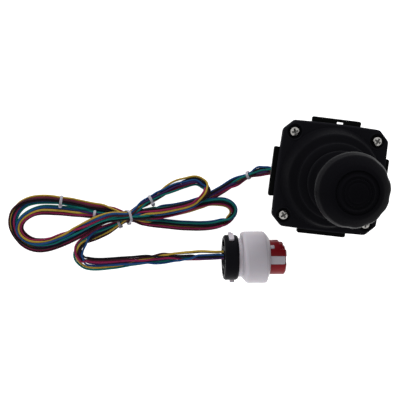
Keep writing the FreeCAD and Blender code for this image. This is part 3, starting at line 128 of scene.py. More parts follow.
class PlugSettings(bpy.types.PropertyGroup):
    """The round plug on the harness."""
    body: colour_setting("Body", "Colour of the plug's body", (0.3333, 0.3111, 0.3444))
    core: colour_setting("Core", "Colour of the contact carrier", (0.14, 0.004, 0.0075))
    cage: colour_setting("Cage", "Colour of the wire retainer", (0.00225, 0.00225, 0.00325))


class HardwareSettings(bpy.types.PropertyGroup):
    """Plate, screws and case."""
    paint: colour_setting("Paint", "Colour of the mounting plate", (0.002167, 0.002311, 0.002311))
    steel: colour_setting("Steel", "Colour of bright steel", (0.72, 0.70, 0.67))
    # Painted shade: the screws are the bright steel at 0.55 of its colour, which dims the white room's
    # reflection in them
    screws: colour_setting("Screws", "Colour of the flange's screws", (0.396, 0.385, 0.3685))
    case: colour_setting("Case", "Colour of the lower case", (0.004444, 0.004444, 0.005))


class StageSettings(bpy.types.PropertyGroup):
    """Floor, lamps and camera."""
    floor: colour_setting("Floor", "Colour of the floor", (0.6, 0.6, 0.6))
    level: FloatProperty(name="Light level", description="Scales every lamp", default=1.0)
    lens: FloatProperty(name="Lens", description="Focal length", default=88.0, unit="CAMERA")


# Surfaces

def circle(count):
    """Evenly spaced angles over a full turn."""
    return np.linspace(0, 2 * math.pi, count, endpoint=False)


def polar(radius, angle, level):
    """Points (r cos a, r sin a, z), with the three arrays spread to one shape."""
    return np.stack(np.broadcast_arrays(radius * np.cos(angle), radius * np.sin(angle), level), -1)


def unit(vectors):
    """The same ways with length one."""
    return vectors / np.linalg.norm(vectors, axis=-1, keepdims=True)


def closed_faces(rows, columns, wrap_rows, wrap_columns):
    """Quads of a grid whose points are numbered along its rows, as one array of four corners each."""
    i = np.arange(rows if wrap_rows else rows - 1)[:, None]
    j = np.arange(columns if wrap_columns else columns - 1)[None, :]
    below, beside = (i + 1) % rows, (j + 1) % columns
    corners = [i * columns + j, i * columns + beside, below * columns + beside, below * columns + j]
    return np.stack(corners, axis=-1).reshape(-1, 4)


def joined(parts):
    """Several (points, quads, triangles) as one, with the numbers of the later ones moved on."""
    points, quads, triangles, start = [], [], [], 0
    for p, q, t in parts:
        points.append(p)
        quads.append(q + start)
        triangles.append(t + start)
        start += len(p)
    return np.concatenate(points), np.concatenate(quads), np.concatenate(triangles)


def sheet_of(grid, wrap_rows=False, wrap_columns=True, caps=False):
    """A grid of points (rows, columns, 3) as points, quads and triangles. Caps close the first and
    the last row with a fan about its middle. Faces are turned so that the enclosed volume is positive."""
    rows, columns = grid.shape[:2]
    points = grid.reshape(-1, 3)
    quads = closed_faces(rows, columns, wrap_rows, wrap_columns)
    triangles = np.zeros((0, 3), int)
    if caps:
        j = np.arange(columns)
        beside = (j + 1) % columns
        first, last = len(points), len(points) + 1
        points = np.concatenate([points, grid[0].mean(0)[None], grid[-1].mean(0)[None]])
        end = (rows - 1) * columns
        triangles = np.concatenate([
            np.stack([beside, j, np.full(columns, first)], -1),
            np.stack([end + j, end + beside, np.full(columns, last)], -1),
        ])
    a, b, c, d = (points[quads[:, k]] for k in range(4))
    volume = np.einsum("ij,ij->", a, np.cross(b, c)) + np.einsum("ij,ij->", a, np.cross(c, d))
    if len(triangles):
        a, b, c = (points[triangles[:, k]] for k in range(3))
        volume += np.einsum("ij,ij->", a, np.cross(b, c))
    if volume < 0:
        quads, triangles = quads[:, ::-1], triangles[:, ::-1]
    return points, quads, triangles


def add_piece(name, parts, material, sharp=35.0, along=None):
    """One object at the origin from (points, quads, triangles) in millimetres. along is a value for each
    point, kept as the attribute distance, for patterns that follow the piece and for the shade painted into
    the screws' recesses."""
    points, quads, triangles = joined(parts)
    mesh = bpy.data.meshes.new(name)
    mesh.from_pydata((points * MM).tolist(), [], quads.tolist() + triangles.tolist())
    mesh.polygons.foreach_set("use_smooth", np.ones(len(mesh.polygons), bool))
    mesh.set_sharp_from_angle(angle=math.radians(sharp))
    if along is not None:
        mesh.attributes.new("distance", "FLOAT", "POINT").data.foreach_set("value", along.astype(np.float32))
    mesh.materials.append(material)
    mesh.validate()
    piece = bpy.data.objects.new(name, mesh)
    bpy.context.scene.collection.objects.link(piece)
    return piece


def rounded(points, radius, steps=5, closed=False):
    """A line of straight runs whose corners become parabolic arcs: each starts so far before its
    corner as it ends after it, never more than half of a run. radius is one number or one a corner."""
    points = np.asarray(points, float)
    count = len(points)
    radius = np.broadcast_to(radius, (count,))
    out = [] if closed else [points[:1]]
    share = np.linspace(0, 1, steps)[:, None]
    for k in range(0 if closed else 1, count if closed else count - 1):
        corner, before, after = points[k], points[k - 1], points[(k + 1) % count]
        back, ahead = before - corner, after - corner
        trim = min(radius[k], 0.48 * np.linalg.norm(back), 0.48 * np.linalg.norm(ahead))
        start = corner + back / np.linalg.norm(back) * trim
        end = corner + ahead / np.linalg.norm(ahead) * trim
        out.append((1 - share) ** 2 * start + 2 * share * (1 - share) * corner + share ** 2 * end)
    if not closed:
        out.append(points[-1:])
    return np.concatenate(out)


def lathe(profile, columns=96, waves=None, lean=None):
    """Points (r cos a, r sin a, z) for each profile point (r, z) and angle a. waves(r, z, a) gives
    what is added to the radius, and lean(r, z, a) what is added to the level."""
    angle = circle(columns)
    radius, level = profile[:, :1], profile[:, 1:]
    if lean is not None:
        level = level + lean(radius, level, angle)
    if waves is not None:
        radius = radius + waves(radius, level, angle)
    return polar(radius, angle, level)


def smooth_step(x):
    """Rises from 0 to 1 as 3 x^2 - 2 x^3."""
    x = np.clip(x, 0, 1)
    return x * x * (3 - 2 * x)


def moved(part, offset, degrees=0.0):
    """A part turned about the Z axis and then moved."""
    points, quads, triangles = part
    c, s = math.cos(math.radians(degrees)), math.sin(math.radians(degrees))
    turn = np.array([[c, s, 0], [-s, c, 0], [0, 0, 1]])
    return points @ turn + np.asarray(offset, float), quads, triangles


def on_plug(part):
    """A part made about the Z axis, laid along the plug's own axis and put in its place."""
    points, quads, triangles = part
    along, side, up = points[:, 2], points[:, 0], points[:, 1]
    c, s = math.cos(PLUG_YAW), math.sin(PLUG_YAW)
    out = np.stack([along * c - side * s, along * s + side * c, up], -1) + np.array(PLUG_ORIGIN)
    return out, quads, triangles


def rounded_box(size, place, power=7.0, columns=40, rows=21):
    """A closed superellipsoid: each coordinate is the half side times the signed power 2 / power of
    the cosines and sines of its two angles, so a high power is a box with soft edges."""
    def bend(x):
        return np.sign(x) * np.abs(x) ** (2 / power)

    u = np.linspace(-math.pi / 2, math.pi / 2, rows)[1:-1, None]
    v = circle(columns)
    x, y, z = (half / 2 for half in size)
    ring = bend(np.cos(u))
    grid = np.stack(np.broadcast_arrays(
        ring * bend(np.cos(v)) * x, ring * bend(np.sin(v)) * y, bend(np.sin(u)) * z), -1)
    return moved(sheet_of(grid, caps=True), place)


def hand_over(piece, body, slot, *nodes):
    """Puts a piece on its body and in the place of its nodes, which it hides. Its slot is not used."""
    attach(piece, body)
    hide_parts(*nodes)


def bend_between(piece):
    """Takes a piece off its body and bakes its place into its mesh."""
    piece.parent = None
    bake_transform(piece)


# Finishes

def add_node(tree, kind, inputs, **properties):
    """A shader node whose inputs are set or, where a socket is given, linked."""
    node = tree.nodes.new("ShaderNode" + kind)
    for name, setting in properties.items():
        setattr(node, name, setting)
    set_inputs(tree, node, inputs)
    return node


def set_inputs(tree, node, inputs):
    """Sets the inputs of a node, or links them where a socket is given."""
    for key, given in inputs.items():
        if isinstance(given, bpy.types.NodeSocket):
            tree.links.new(given, node.inputs[key])
        else:
            node.inputs[key].default_value = given


def finish(name, colour, roughness, metallic=0.0, grain=(900.0, 0.00002), mottle=(60.0, 0.12),
           spread=0.06, specular=0.5, milky=(0.0, 0.001)):
    """A procedural finish in Object coordinates. grain is the scale and the height of a fine bump, and
    mottle the scale and the share of a coarse change of colour, which spreads the roughness too.
    milky is the weight and the depth of light under the surface."""
    material = bpy.data.materials.new(name)
    material.use_nodes = True
    tree = material.node_tree
    place = add_node(tree, "TexCoord", {}).outputs["Object"]
    fine = add_node(tree, "TexNoise", {"Vector": place, "Scale": grain[0], "Detail": 4.0})
    bump = add_node(tree, "Bump", {"Height": fine.outputs["Fac"], "Strength": 0.6, "Distance": grain[1]})
    coarse = add_node(tree, "TexNoise", {
        "Vector": place, "Scale": mottle[0], "Detail": 6.0, "Roughness": 0.6}).outputs["Fac"]
    dark, pale = ([min(1.0, c * share) for c in colour] + [1] for share in (1 - mottle[1], 1 + mottle[1]))
    tint = add_node(tree, "Mix", {"Factor": coarse, "A": dark, "B": pale}, data_type="RGBA")
    rough = add_node(tree, "MapRange", {
        "Value": coarse, "To Min": max(0.02, roughness - spread), "To Max": min(1.0, roughness + spread)})
    set_inputs(tree, tree.nodes["Principled BSDF"], {
        "Metallic": metallic, "Base Color": tint.outputs["Result"], "Roughness": rough.outputs["Result"],
        "Normal": bump.outputs["Normal"], "Specular IOR Level": specular,
        "Subsurface Weight": milky[0], "Subsurface Scale": milky[1]})
    return material


def recolour(material, share, colour, way="MIX"):
    """Mixes a colour into a finish's own by the share that a socket gives."""
    tree = material.node_tree
    base = tree.nodes["Principled BSDF"].inputs["Base Color"]
    mix = add_node(tree, "Mix", {
        "Factor": share, "A": base.links[0].from_socket, "B": (*colour, 1)}, data_type="RGBA", blend_type=way)
    tree.links.new(mix.outputs["Result"], base)


def kept_distance(tree):
    """The socket of the value that a piece keeps for each point."""
    return add_node(tree, "Attribute", {}, attribute_name="distance").outputs["Fac"]


def rubber_finish(name, colour, scale):
    """Dull rubber, mottled at a scale."""
    return finish(
        name, colour, 0.6, grain=(1300.0, 0.00003), mottle=(scale, 0.22), spread=0.07, specular=0.010)


def cover_finish(name, colour):
    """A wire's cover: extruded vinyl whose colour changes slowly along it."""
    material = finish(
        name, colour, 0.36, grain=(1500.0, 0.00001), mottle=(90.0, 0.10), spread=0.05, specular=0.08)
    tree = material.node_tree
    wave = add_node(tree, "TexNoise", {"W": kept_distance(tree), "Scale": 0.35}, noise_dimensions="1D")
    recolour(material, wave.outputs["Fac"], (0.82, 0.82, 0.84), "MULTIPLY")
    return material


def board_finish(name):
    """A green circuit board: solder mask over darker tracks in a fine lattice."""
    material = finish(name, (0.008, 0.075, 0.03), 0.3, grain=(700.0, 0.00002), mottle=(50.0, 0.1))
    tree = material.node_tree
    tracks = add_node(tree, "TexBrick", {
        "Vector": add_node(tree, "TexCoord", {}).outputs["Object"], "Color1": (0.008, 0.085, 0.035, 1),
        "Color2": (0.01, 0.065, 0.03, 1), "Mortar": (0.02, 0.13, 0.05, 1), "Scale": 260.0,
        "Mortar Size": 0.03})
    tree.links.new(tracks.outputs["Color"], tree.nodes["Principled BSDF"].inputs["Base Color"])
    return material


def dress_nodes(material, names):
    """Gives carried-over nodes, named with spaces between, their finish."""
    for name in names.split():
        materials = frame["nodes"][name].data.materials
        materials.clear()
        materials.append(material)


# The harness. Its route is read off the picture: out of the case, through the inner left loop, the
# upper right loop, the outer left loop and the lower right loop, and then along the tail to the plug.
# Each point is x, y, z in millimetres.

ROUTE = [
    (-17, -2.5, 14), (-31.5, -2.5, 14), (-35.5, -3.2, 11.8), (-39.1, -4.5, 9.0), (-42.1, -6.5, 6.0),
    (-45.8, -9.0, 3.6), (-50.3, -11.8, 2.4), (-55.4, -15.5, 1.9), (-61.0, -19.9, 1.8), (-66.7, -24.1, 1.7),
    (-70.7, -27.1, 1.7), (-77.4, -32.4, 1.7), (-91.0, -36.8, 1.7), (-103.8, -40.6, 1.8),
    (-114.1, -43.6, 2.4), (-124.4, -45.9, 3.6),
    (-133.8, -47.6, 2.4), (-140.8, -48.0, 2.2), (-147.8, -47.7, 2.4), (-155.8, -47.7, 1.8),
    (-163.6, -47.8, 1.7), (-170.6, -47.9, 1.7), (-177.4, -48.3, 1.7), (-183.3, -48.8, 2.4),
    (-188.6, -50.7, 3.8), (-193.4, -54.0, 4.6), (-196.9, -58.1, 4.7), (-198.1, -62.5, 4.7),
    (-196.9, -66.3, 4.7), (-193.5, -69.6, 4.7), (-189.0, -71.5, 4.7), (-183.8, -71.9, 4.7),
    (-177.4, -70.6, 4.7), (-170.8, -67.5, 4.8), (-164.3, -63.8, 4.8), (-157.8, -59.5, 4.9),
    (-150.5, -54.1, 5.6), (-143.2, -49.3, 7.2), (-135.7, -45.9, 8.0), (-124.7, -44.0, 7.6),
    (-119.9, -39.6, 5.0), (-115.4, -36.3, 3.4), (-110.5, -33.2, 2.6), (-101.9, -27.2, 1.7),
    (-93.7, -21.8, 1.7), (-87.0, -18.8, 1.7), (-83.0, -17.2, 1.7), (-79.1, -17.0, 1.8),
    (-75.3, -18.6, 2.4), (-73.3, -21.0, 4.4), (-73.4, -23.8, 6.6), (-75.5, -27.0, 7.8),
    (-78.4, -29.6, 8.2), (-82.3, -32.4, 8.2), (-87.0, -34.7, 8.2), (-91.4, -36.3, 7.6),
    (-101.5, -39.9, 6.6), (-113.3, -43.1, 5.2), (-124.4, -45.5, 3.6),
    (-131.5, -44.9, 2.4), (-137.7, -44.4, 2.0), (-144.8, -43.8, 1.7), (-151.8, -43.3, 1.7),
    (-160.7, -41.9, 1.7), (-171.2, -40.8, 2.4), (-178.1, -41.1, 1.7), (-184.1, -41.7, 1.7),
    (-189.9, -42.8, 1.7), (-195.0, -44.9, 1.7), (-199.0, -48.2, 1.7), (-201.6, -52.7, 1.7),
    (-202.4, -57.9, 1.7), (-201.6, -62.5, 1.7), (-199.3, -66.8, 1.7), (-196.1, -70.5, 1.7),
    (-192.6, -73.0, 1.7), (-188.6, -74.7, 1.7), (-183.3, -75.2, 1.7), (-177.3, -74.0, 1.7),
    (-170.7, -71.1, 1.7), (-163.3, -66.8, 1.8), (-156.7, -62.4, 2.2), (-150.2, -57.8, 3.2),
    (-142.9, -52.6, 5.2), (-134.6, -48.3, 7.0), (-124.4, -46.8, 7.6),
    (-114.9, -45.4, 5.6), (-103.7, -43.1, 5.0), (-92.6, -40.1, 4.8), (-81.2, -34.8, 4.8),
    (-75.9, -32.1, 4.6), (-70.5, -30.2, 3.6), (-64.9, -29.3, 2.2), (-59.8, -29.3, 1.7),
    (-55.9, -30.6, 1.7), (-53.2, -33.1, 1.7), (-52.5, -36.2, 1.7), (-53.8, -39.5, 1.7),
    (-56.9, -42.5, 1.7), (-61.5, -45.2, 1.7), (-67.6, -47.0, 1.7), (-74.9, -48.1, 1.7),
    (-82.4, -48.5, 1.7), (-87.8, -48.9, 1.7), (-98.4, -48.9, 1.7), (-109.0, -49.0, 1.9),
    (-116.9, -49.0, 2.6), (-123.9, -49.6, 3.8),
    (-130.1, -53.6, 2.8), (-137.1, -57.4, 1.9), (-144.6, -61.7, 1.7), (-151.0, -66.4, 1.7),
    (-155.3, -71.7, 1.7), (-156.0, -76.9, 1.7), (-153.8, -80.9, 1.7), (-149.1, -82.9, 1.7),
    (-142.1, -82.9, 1.7), (-131.8, -81.2, 1.7), (-121.4, -79.3, 1.7), (-108.4, -76.9, 1.7),
    (-95.4, -74.2, 1.8), (-85.9, -71.4, 3.0), (-79.4, -69.7, 5.6), (-72.5, -67.9, 9.5),
    (-65.5, -66.0, 13.5), (-58.3, -63.9, 17.0), (-52.5, -63.6, 17.6),
]
WIRES = "ycbtkvn"
COVERS = dict(zip(WIRES, ("yellow", "crimson", "blue", "green", "black", "violet", "brown")))

# Stations along the route: the number of the route point, the spread in millimetres from the first
# wire to the last, and the wires from the left to the right of the way. A spread of 0 is a round bunch.
STATIONS = [
    (0, 0, "cnvytkb"), (1, 0, "cnvytkb"), (5, 0, "cnvytkb"), (8, 2.8, "ncyvtkb"), (11, 3.3, "ncyvtkb"),
    (15, 0, "ncykvbt"), (18, 0, "nckyvbt"), (20, 3.0, "nckyvbt"), (24, 3.0, "nckyvbt"),
    (29, 3.0, "nckyvbt"), (33, -3.2, "cnykbvt"), (36, -3.2, "ynbvckt"), (39, 0, "ybvcnkt"),
    (42, 0, "bvkytcn"), (48, -3.2, "ynkcbvt"), (50, -3.0, "kbntyvc"), (54, -3.2, "btyvcnk"),
    (58, 0, "bytvcnk"), (61, -3.0, "tbkvncy"), (64, 0, "tkbvncy"), (66, -3.2, "tbkvncy"),
    (71, -3.2, "tbcvkyn"), (77, -3.2, "tbvykcn"), (81, -3.2, "tybvkcn"), (85, 0, "btvykcn"),
    (88, 3.2, "btvkncy"), (91, 3.2, "btvkncy"), (95, 3.2, "btvkncy"), (99, 3.2, "ncykvtb"),
    (104, 3.2, "ncykvtb"), (107, 0, "cnkvybt"), (108, 0, "nykvtbc"),
]
# Where the wires part: the route point, the wires, their places to the left of the way in millimetres,
# and the wires that lie on top of the others there
SPLAYED = [
    (2, "cnvytkb", (1.9, 1.3, 0.7, 0.2, -0.4, -1.1, -2.5), "tvb"),
    (3, "cnvytkb", (2.2, 1.6, 0.9, 0.4, -0.5, -1.3, -3.6), "tvb"),
    (44, "ybkvnct", (3.5, 1.4, 0.8, 0.1, -0.6, -0.9, -1.9), "bvt"),
    (46, "ykbvnct", (2.5, 1.4, 0.8, 0.1, -0.5, -0.9, -1.7), "bvt"),
    (97, "btkcnvy", (1.3, 0.3, -0.8, 1.0, 0.3, -0.4, -1.2), "btk"),
    (110, "nykvtbc", (2.1, 1.5, 0.3, -0.2, -0.9, -1.8, -3.0), "ktb"),
    (112, "bkvntyc", (1.9, 1.0, 0.3, -0.3, -1.2, -1.6, -2.7), "bkyc"),
    (114, "kbvncyt", (3.0, 1.6, 1.0, 0.4, -0.5, -2.0, -2.8), "bc"),
    (115, "kncvbyt", (3.7, 2.8, 1.9, 0.9, -1.4, -2.6, -3.4), "c"),
    (117, "kncvbyt", (3.4, 2.5, 1.5, 0.6, -0.7, -1.6, -2.3), "cb"),
    (119, "kncvbyt", (3.2, 2.3, 1.3, 0.4, -0.8, 1.6, -0.5), "kcb"),
    (120, "ynkcvbt", (3.5, 3.0, 2.1, 1.1, 0.2, -1.6, -0.6), "ykcb"),
    (122, "ynkvtcb", (3.8, 3.3, 1.5, 0.5, -0.4, -1.2, -0.7), "ykb"),
    (123, "ynbktvc", (4.1, 3.6, 1.2, 0.4, -0.3, -0.8, -1.7), "ybkv"),
    (125, "ynbktvc", (3.0, 2.5, 1.0, 0.1, -0.5, -0.9, -1.8), "ybkv"),
]
# The ties: the number of the route point, how far along from it in millimetres, where the lock head
# sits round the bunch in degrees, and the node that it belongs to. The first goes round every pass.
TIES = [
    (39, 0.0, 200.0, "hank_ties"), (5, 0.5, 228.0, "harness_ties"),
    (18, 0.0, 0.0, "hank_ties"), (42, 0.0, 150.0, "hank_ties"), (64, 0.0, 350.0, "hank_ties"),
    (108, 0.0, 10.0, "harness_ties"),
]
KNOT = (-124.6, -46.1, 4.6)
KNOT_WAY = (1.0, 0.3, -0.42)
BUNCH_RADIUS = 1.42
SAMPLE = 1.25
TUBE_SIDES = 12
FLOOR_GAP = 0.05
# How the wires settle: the number of rounds, after how many the neighbours are looked for again, how far
# off in diameters they are looked for, and how much a round draws the wires in at a tie and at the knot
ROUNDS = 90
LOOK_EVERY = 9
LOOK_REACH = 1.5
TIE_PULL = 0.06
KNOT_PULL = 0.03
# How far a loose wire strays from its place, and how far from a tie it is loose again
STRAY = 0.16
STRAY_REACH = 14


def route_curve():
    """The route as one smooth spline, whose control points are ROUTE."""
    curve = bpy.data.curves.new("harness_route", "CURVE")
    curve.dimensions = "3D"
    spline = curve.splines.new("NURBS")
    spline.points.add(len(ROUTE) - 1)
    flat = np.ones((len(ROUTE), 4))
    flat[:, :3] = np.array(ROUTE) * MM
    spline.points.foreach_set("co", flat.ravel())
    spline.order_u = 3
    spline.use_endpoint_u = True
    spline.resolution_u = 12
    holder = bpy.data.objects.new("harness_route", curve)
    bpy.context.scene.collection.objects.link(holder)
    bpy.context.view_layer.update()
    mesh = bpy.data.meshes.new_from_object(holder)
    points = np.zeros(len(mesh.vertices) * 3)
    mesh.vertices.foreach_get("co", points)
    bpy.data.objects.remove(holder)
    return points.reshape(-1, 3) / MM


def run_of(points):
    """The distance of each point along its line."""
    return np.concatenate([[0], np.cumsum(np.linalg.norm(np.diff(points, axis=0), axis=1))])


def even(points, step):
    """The same line with points at equal distances, the distance of each old point and of each new one."""
    run = run_of(points)
    new = np.linspace(0, run[-1], int(run[-1] / step) + 1)
    return np.stack([np.interp(new, run, points[:, k]) for k in range(points.shape[1])], -1), run, new


def line_frame(line):
    """Ways of length one for each point of a line: level and to its left, and square above it."""
    ahead = unit(np.gradient(line, axis=0))
    left = unit(np.stack([-ahead[:, 1], ahead[:, 0], 0 * ahead[:, 0]], -1))
    return left, np.cross(ahead, left)


def route_distances(points, run):
    """How far along the line each route point is nearest, looked for near its share of the line."""
    share = len(points) / (len(ROUTE) - 2)
    found = []
    for k, place in enumerate(ROUTE):
        low = int(max(0, (k - 1.5) * share))
        high = int(min(len(points), (k + 0.5) * share + 1))
        near = np.linalg.norm(points[low:high] - np.array(place), axis=1)
        found.append(run[low + int(near.argmin())])
    return found


def station_offsets(order, spread):
    """Each wire's place across and above the middle. A flat bunch lies in two layers, so that
    neighbours touch: the layers are sqrt(d^2 - pitch^2) apart. Its outer wires are in the lower layer,
    or in the upper one if the spread is negative. A round bunch is six wires about one."""
    across, above = np.zeros(7), np.zeros(7)
    slots = np.array([WIRES.index(letter) for letter in order])
    if spread:
        pitch = abs(spread) / 6
        layer = math.copysign(math.sqrt(max(0.0, BUNCH_RADIUS ** 2 - pitch ** 2)), spread)
        across[slots] = pitch * (3 - np.arange(7))
        above[slots] = layer * (np.arange(7) % 2 - 3 / 7)
    else:
        angle = np.radians([180, 120, 240, 0, 60, 300])
        outer = slots[[0, 1, 2, 6, 4, 5]]
        across[outer] = -BUNCH_RADIUS * np.cos(angle)
        above[outer] = BUNCH_RADIUS * np.sin(angle)
    return across, above


def blended(distance, stops, values):
    """Values that pass smoothly from one stop to the next along the line."""
    stops, values = np.array(stops), np.array(values)
    order = np.argsort(stops)
    stops, values = stops[order], values[order]
    k = np.clip(np.searchsorted(stops, distance) - 1, 0, len(stops) - 2)
    share = smooth_step((distance - stops[k]) / (stops[k + 1] - stops[k]))[:, None]
    return values[k] * (1 - share) + values[k + 1] * share


def wire_targets(settings):
    """The wires' lines before they settle: the route plus each wire's place across it."""
    rough = route_curve()
    line, run, distance = even(rough, SAMPLE)
    at = route_distances(rough, run)
    rows = [np.concatenate(station_offsets(order, spread)) for _, spread, order in STATIONS]
    for _, letters, places, upper in SPLAYED:
        across = [places[letters.index(w)] for w in WIRES]
        rows.append(np.array(across + [1.5 * (w in upper) - 0.1 for w in WIRES]))
    offsets = blended(distance, [at[row[0]] for row in STATIONS + SPLAYED], rows)
    left, over = line_frame(line)
    across, above = offsets[:, :7].T[..., None], offsets[:, 7:].T[..., None]
    seed = np.random.default_rng(7)
    drift = sum(
        np.sin(distance[None] / period + seed.uniform(0, 6.28, (7, 1))) for period in (11.0, 17.0, 29.0)
    )
    calm = np.min([np.abs(distance - (at[k] + more)) for k, more, *_ in TIES], axis=0)
    loose = smooth_step(calm / STRAY_REACH) * STRAY
    wires = line[None] + left[None] * (across + (drift * loose)[..., None]) + over[None] * above
    floor = 0.5 * settings.wire / MM + 1.25 * np.exp(-(calm / 5.0) ** 2)
    return wires, line, at, distance, floor


def near_pairs(points, wires, reach, block=700):
    """Pairs of points nearer than reach, apart from a wire's own neighbours, found in blocks."""
    per_wire = len(points) // wires
    pairs = []
    for low in range(0, len(points), block):
        gap = ((points[low:low + block, None, :] - points[None, :, :]) ** 2).sum(-1)
        i, j = np.nonzero(gap < reach ** 2)
        i = i + low
        apart = (i < j) & ((i // per_wire != j // per_wire) | (np.abs(i - j) > 8))
        pairs.append(np.stack([i[apart], j[apart]]))
    return np.concatenate(pairs, axis=1)


def settle(targets, distance, at, floor, thick):
    """Lets the wires find room: points that are nearer than a wire's diameter are pushed apart, the
    wires sink to the floor or onto each other, keep near their targets, and are drawn in at the ties.
    What is smoothed along a wire is only its way from the target, so loops keep their shape."""
    places = targets.copy()
    ends = (distance < 45) | (distance > distance[-1] - 40)
    held = np.where(ends, 1.0, smooth_step((targets[..., 2] - 5.5) / 5.0))
    drawn = np.max([np.exp(-((distance - at[k] - more) / 3.0) ** 2) for k, more, *_ in TIES[1:]], axis=0)
    for step in range(ROUNDS):
        flat = places.reshape(-1, 3)
        if step % LOOK_EVERY == 0:
            first, second = near_pairs(flat, len(targets), thick * LOOK_REACH)
        gap = flat[first] - flat[second]
        far = np.linalg.norm(gap, axis=1)[:, None] + 1e-9
        push = np.clip(thick - far, 0, None) * gap / far * 0.5
        total = np.stack([
            np.bincount(first, way, len(flat)) - np.bincount(second, way, len(flat)) for way in push.T], -1)
        touching = sum(np.bincount(end, push.any(1), len(flat)) for end in (first, second))
        flat += total / np.maximum(1.0, touching * 0.7)[:, None]
        places = flat.reshape(targets.shape)
        places += (places.mean(0, keepdims=True) - places) * (TIE_PULL * drawn)[None, :, None]
        clump = KNOT_PULL * np.exp(-((places[..., 0] - KNOT[0]) / 4.5) ** 2)
        clump *= np.abs(places[..., 1] - KNOT[1]) < 12
        places[..., 1:] += (np.array(KNOT[1:]) - places[..., 1:]) * clump[..., None] * np.array([1.0, 2.0])
        away = places - targets
        away[..., :2] *= 0.985
        away[..., 2] *= 1 - 0.2 * held
        away[..., 2] -= 0.045 * (1 - held)
        for _ in range(2):
            away[:, 1:-1] += 0.3 * (0.5 * (away[:, :-2] + away[:, 2:]) - away[:, 1:-1])
        away[:, :6] = 0
        away[:, -6:] = 0
        places = targets + away
        places[..., 2] = np.maximum(places[..., 2], floor[None] + 0.02)
    return places


def tube(line, radius):
    """A round tube about a line: ring i, side j is p + r (cos a_j n + sin a_j b), where n is level and
    square to the line and b is square to both."""
    across, over = line_frame(line)
    angle = circle(TUBE_SIDES)[None, :, None]
    ring = np.cos(angle) * across[:, None] + np.sin(angle) * over[:, None]
    return sheet_of(line[:, None] + radius * ring, caps=True)


def strap_outline(middle, side, up, places, radius, count=72):
    """The line of a strap drawn tight round round wires: for each direction u the furthest wire gives
    the support h(u), and the line is h u + h' u', with h' its rate of change."""
    flat = np.stack([(places - middle) @ side, (places - middle) @ up], -1)
    angle = circle(count)
    direction = np.stack([np.cos(angle), np.sin(angle)], -1)
    turned = np.stack([-np.sin(angle), np.cos(angle)], -1)
    reach = (flat @ direction.T).max(0) + radius
    for _ in range(3):
        reach = 0.5 * reach + 0.25 * (np.roll(reach, 1) + np.roll(reach, -1))
    slope = (np.roll(reach, -1) - np.roll(reach, 1)) / (2 * (angle[1] - angle[0]))
    return reach[:, None] * direction + slope[:, None] * turned


def tie_parts(middle, way, places, wire, width, thickness, head_angle):
    """A strap with rounded edges carried along its outline, a soft-edged lock head and a cut tail."""
    side = unit(np.array([-way[1], way[0], 0.0]))
    up = np.cross(way, side)
    outline = strap_outline(middle, side, up, places, wire / 2 + 0.1)
    ahead = unit(np.roll(outline, -1, 0) - np.roll(outline, 1, 0))
    outward = np.stack([ahead[:, 1], -ahead[:, 0]], -1)
    section = rounded([
        (-width / 2, 0), (width / 2, 0), (width / 2, thickness), (-width / 2, thickness)], 0.25, 3, True)
    flat = outline[:, None] + outward[:, None] * section[None, :, 1:]
    grid = middle + flat[..., :1] * side + flat[..., 1:] * up + section[None, :, :1] * way
    grid[..., 2] = np.maximum(grid[..., 2], FLOOR_GAP)
    parts = [sheet_of(grid, wrap_rows=True)]
    k = int(round(head_angle / 360 * len(outline))) % len(outline)
    out, along, from_middle = (flat[0] * side + flat[1] * up for flat in (outward[k], ahead[k], outline[k]))
    turn = np.stack([way, out, along])
    size = (width + 0.9, 1.7, 2.8)
    seat = thickness / 2 + size[1] / 2
    for extent, place, power in (
        (size, (0, seat - 0.5, 0), 6.0), ((width, thickness, size[2] + 1.8), (0, seat - 0.1, 1.0), 8.0)
    ):
        points, quads, triangles = rounded_box(extent, place, power, 28, 15)
        placed = middle + from_middle + points @ turn
        placed[:, 2] = np.maximum(placed[:, 2], FLOOR_GAP)
        parts.append((placed, quads, triangles))
    return parts


class JOYSTICK_OT_harness(bpy.types.Operator):
    """Lays the seven wires along the route, lets them settle, and closes the ties round them"""
    bl_idname = "joystick.harness"
    bl_label = "Harness"

    def execute(self, context):
        settings = context.scene.joystick_harness
        thick = settings.wire / MM
        targets, line, at, distance, floor = wire_targets(settings)
        places = settle(targets, distance, at, floor, thick * 1.02)
        plug = [frame["nodes"][n] for n in ("plug_contacts", "wire_seal")]
        plug += [bpy.data.objects[n] for n in (
            "plug_shell", "plug_retainer", "plug_latch", "plug_carrier", "plug_locks")]
        for path, letter in zip(places, WIRES):
            cover = COVERS[letter]
            run = run_of(path)
            along = np.concatenate([np.repeat(run, TUBE_SIDES), run[[0, -1]]])
            material = cover_finish("cover_" + cover, getattr(settings, cover))
            wire = add_piece("wire_" + cover, [tube(path, thick / 2)], material, 80, along)
            hand_over(wire, "base", "wire_cover", "harness_lead", "harness_hank", "harness_tail")
        nylon = finish("tie_nylon", settings.tie, 0.42, grain=(500.0, 0.00002), mottle=(200.0, 0.05),
                       milky=(0.15, 0.001))
        groups = {"harness_ties": [], "hank_ties": []}
        for index, (k, more, head, node) in enumerate(TIES):
            if index:
                sample = int(round((at[k] + more) / (distance[1] - distance[0])))
                way = line[sample + 2] - line[sample - 2]
                around = places[:, sample]
                middle = around.mean(0)
            else:
                way, middle = np.array(KNOT_WAY), np.array(KNOT)
                flat = places.reshape(-1, 3)
                near = np.abs((flat - middle) @ way) < 1.2
                around = flat[near & (np.abs(flat[:, 1] - middle[1]) < 9)]
            groups[node].extend(tie_parts(
                middle, unit(way), around, thick, settings.tie_width / MM, settings.tie_thickness / MM, head))
        for name, node in (("ties_lead", "harness_ties"), ("ties_hank", "hank_ties")):
            hand_over(add_piece(name, groups[node], nylon, 50), "base", "white_tie", node)
        return {"FINISHED"}


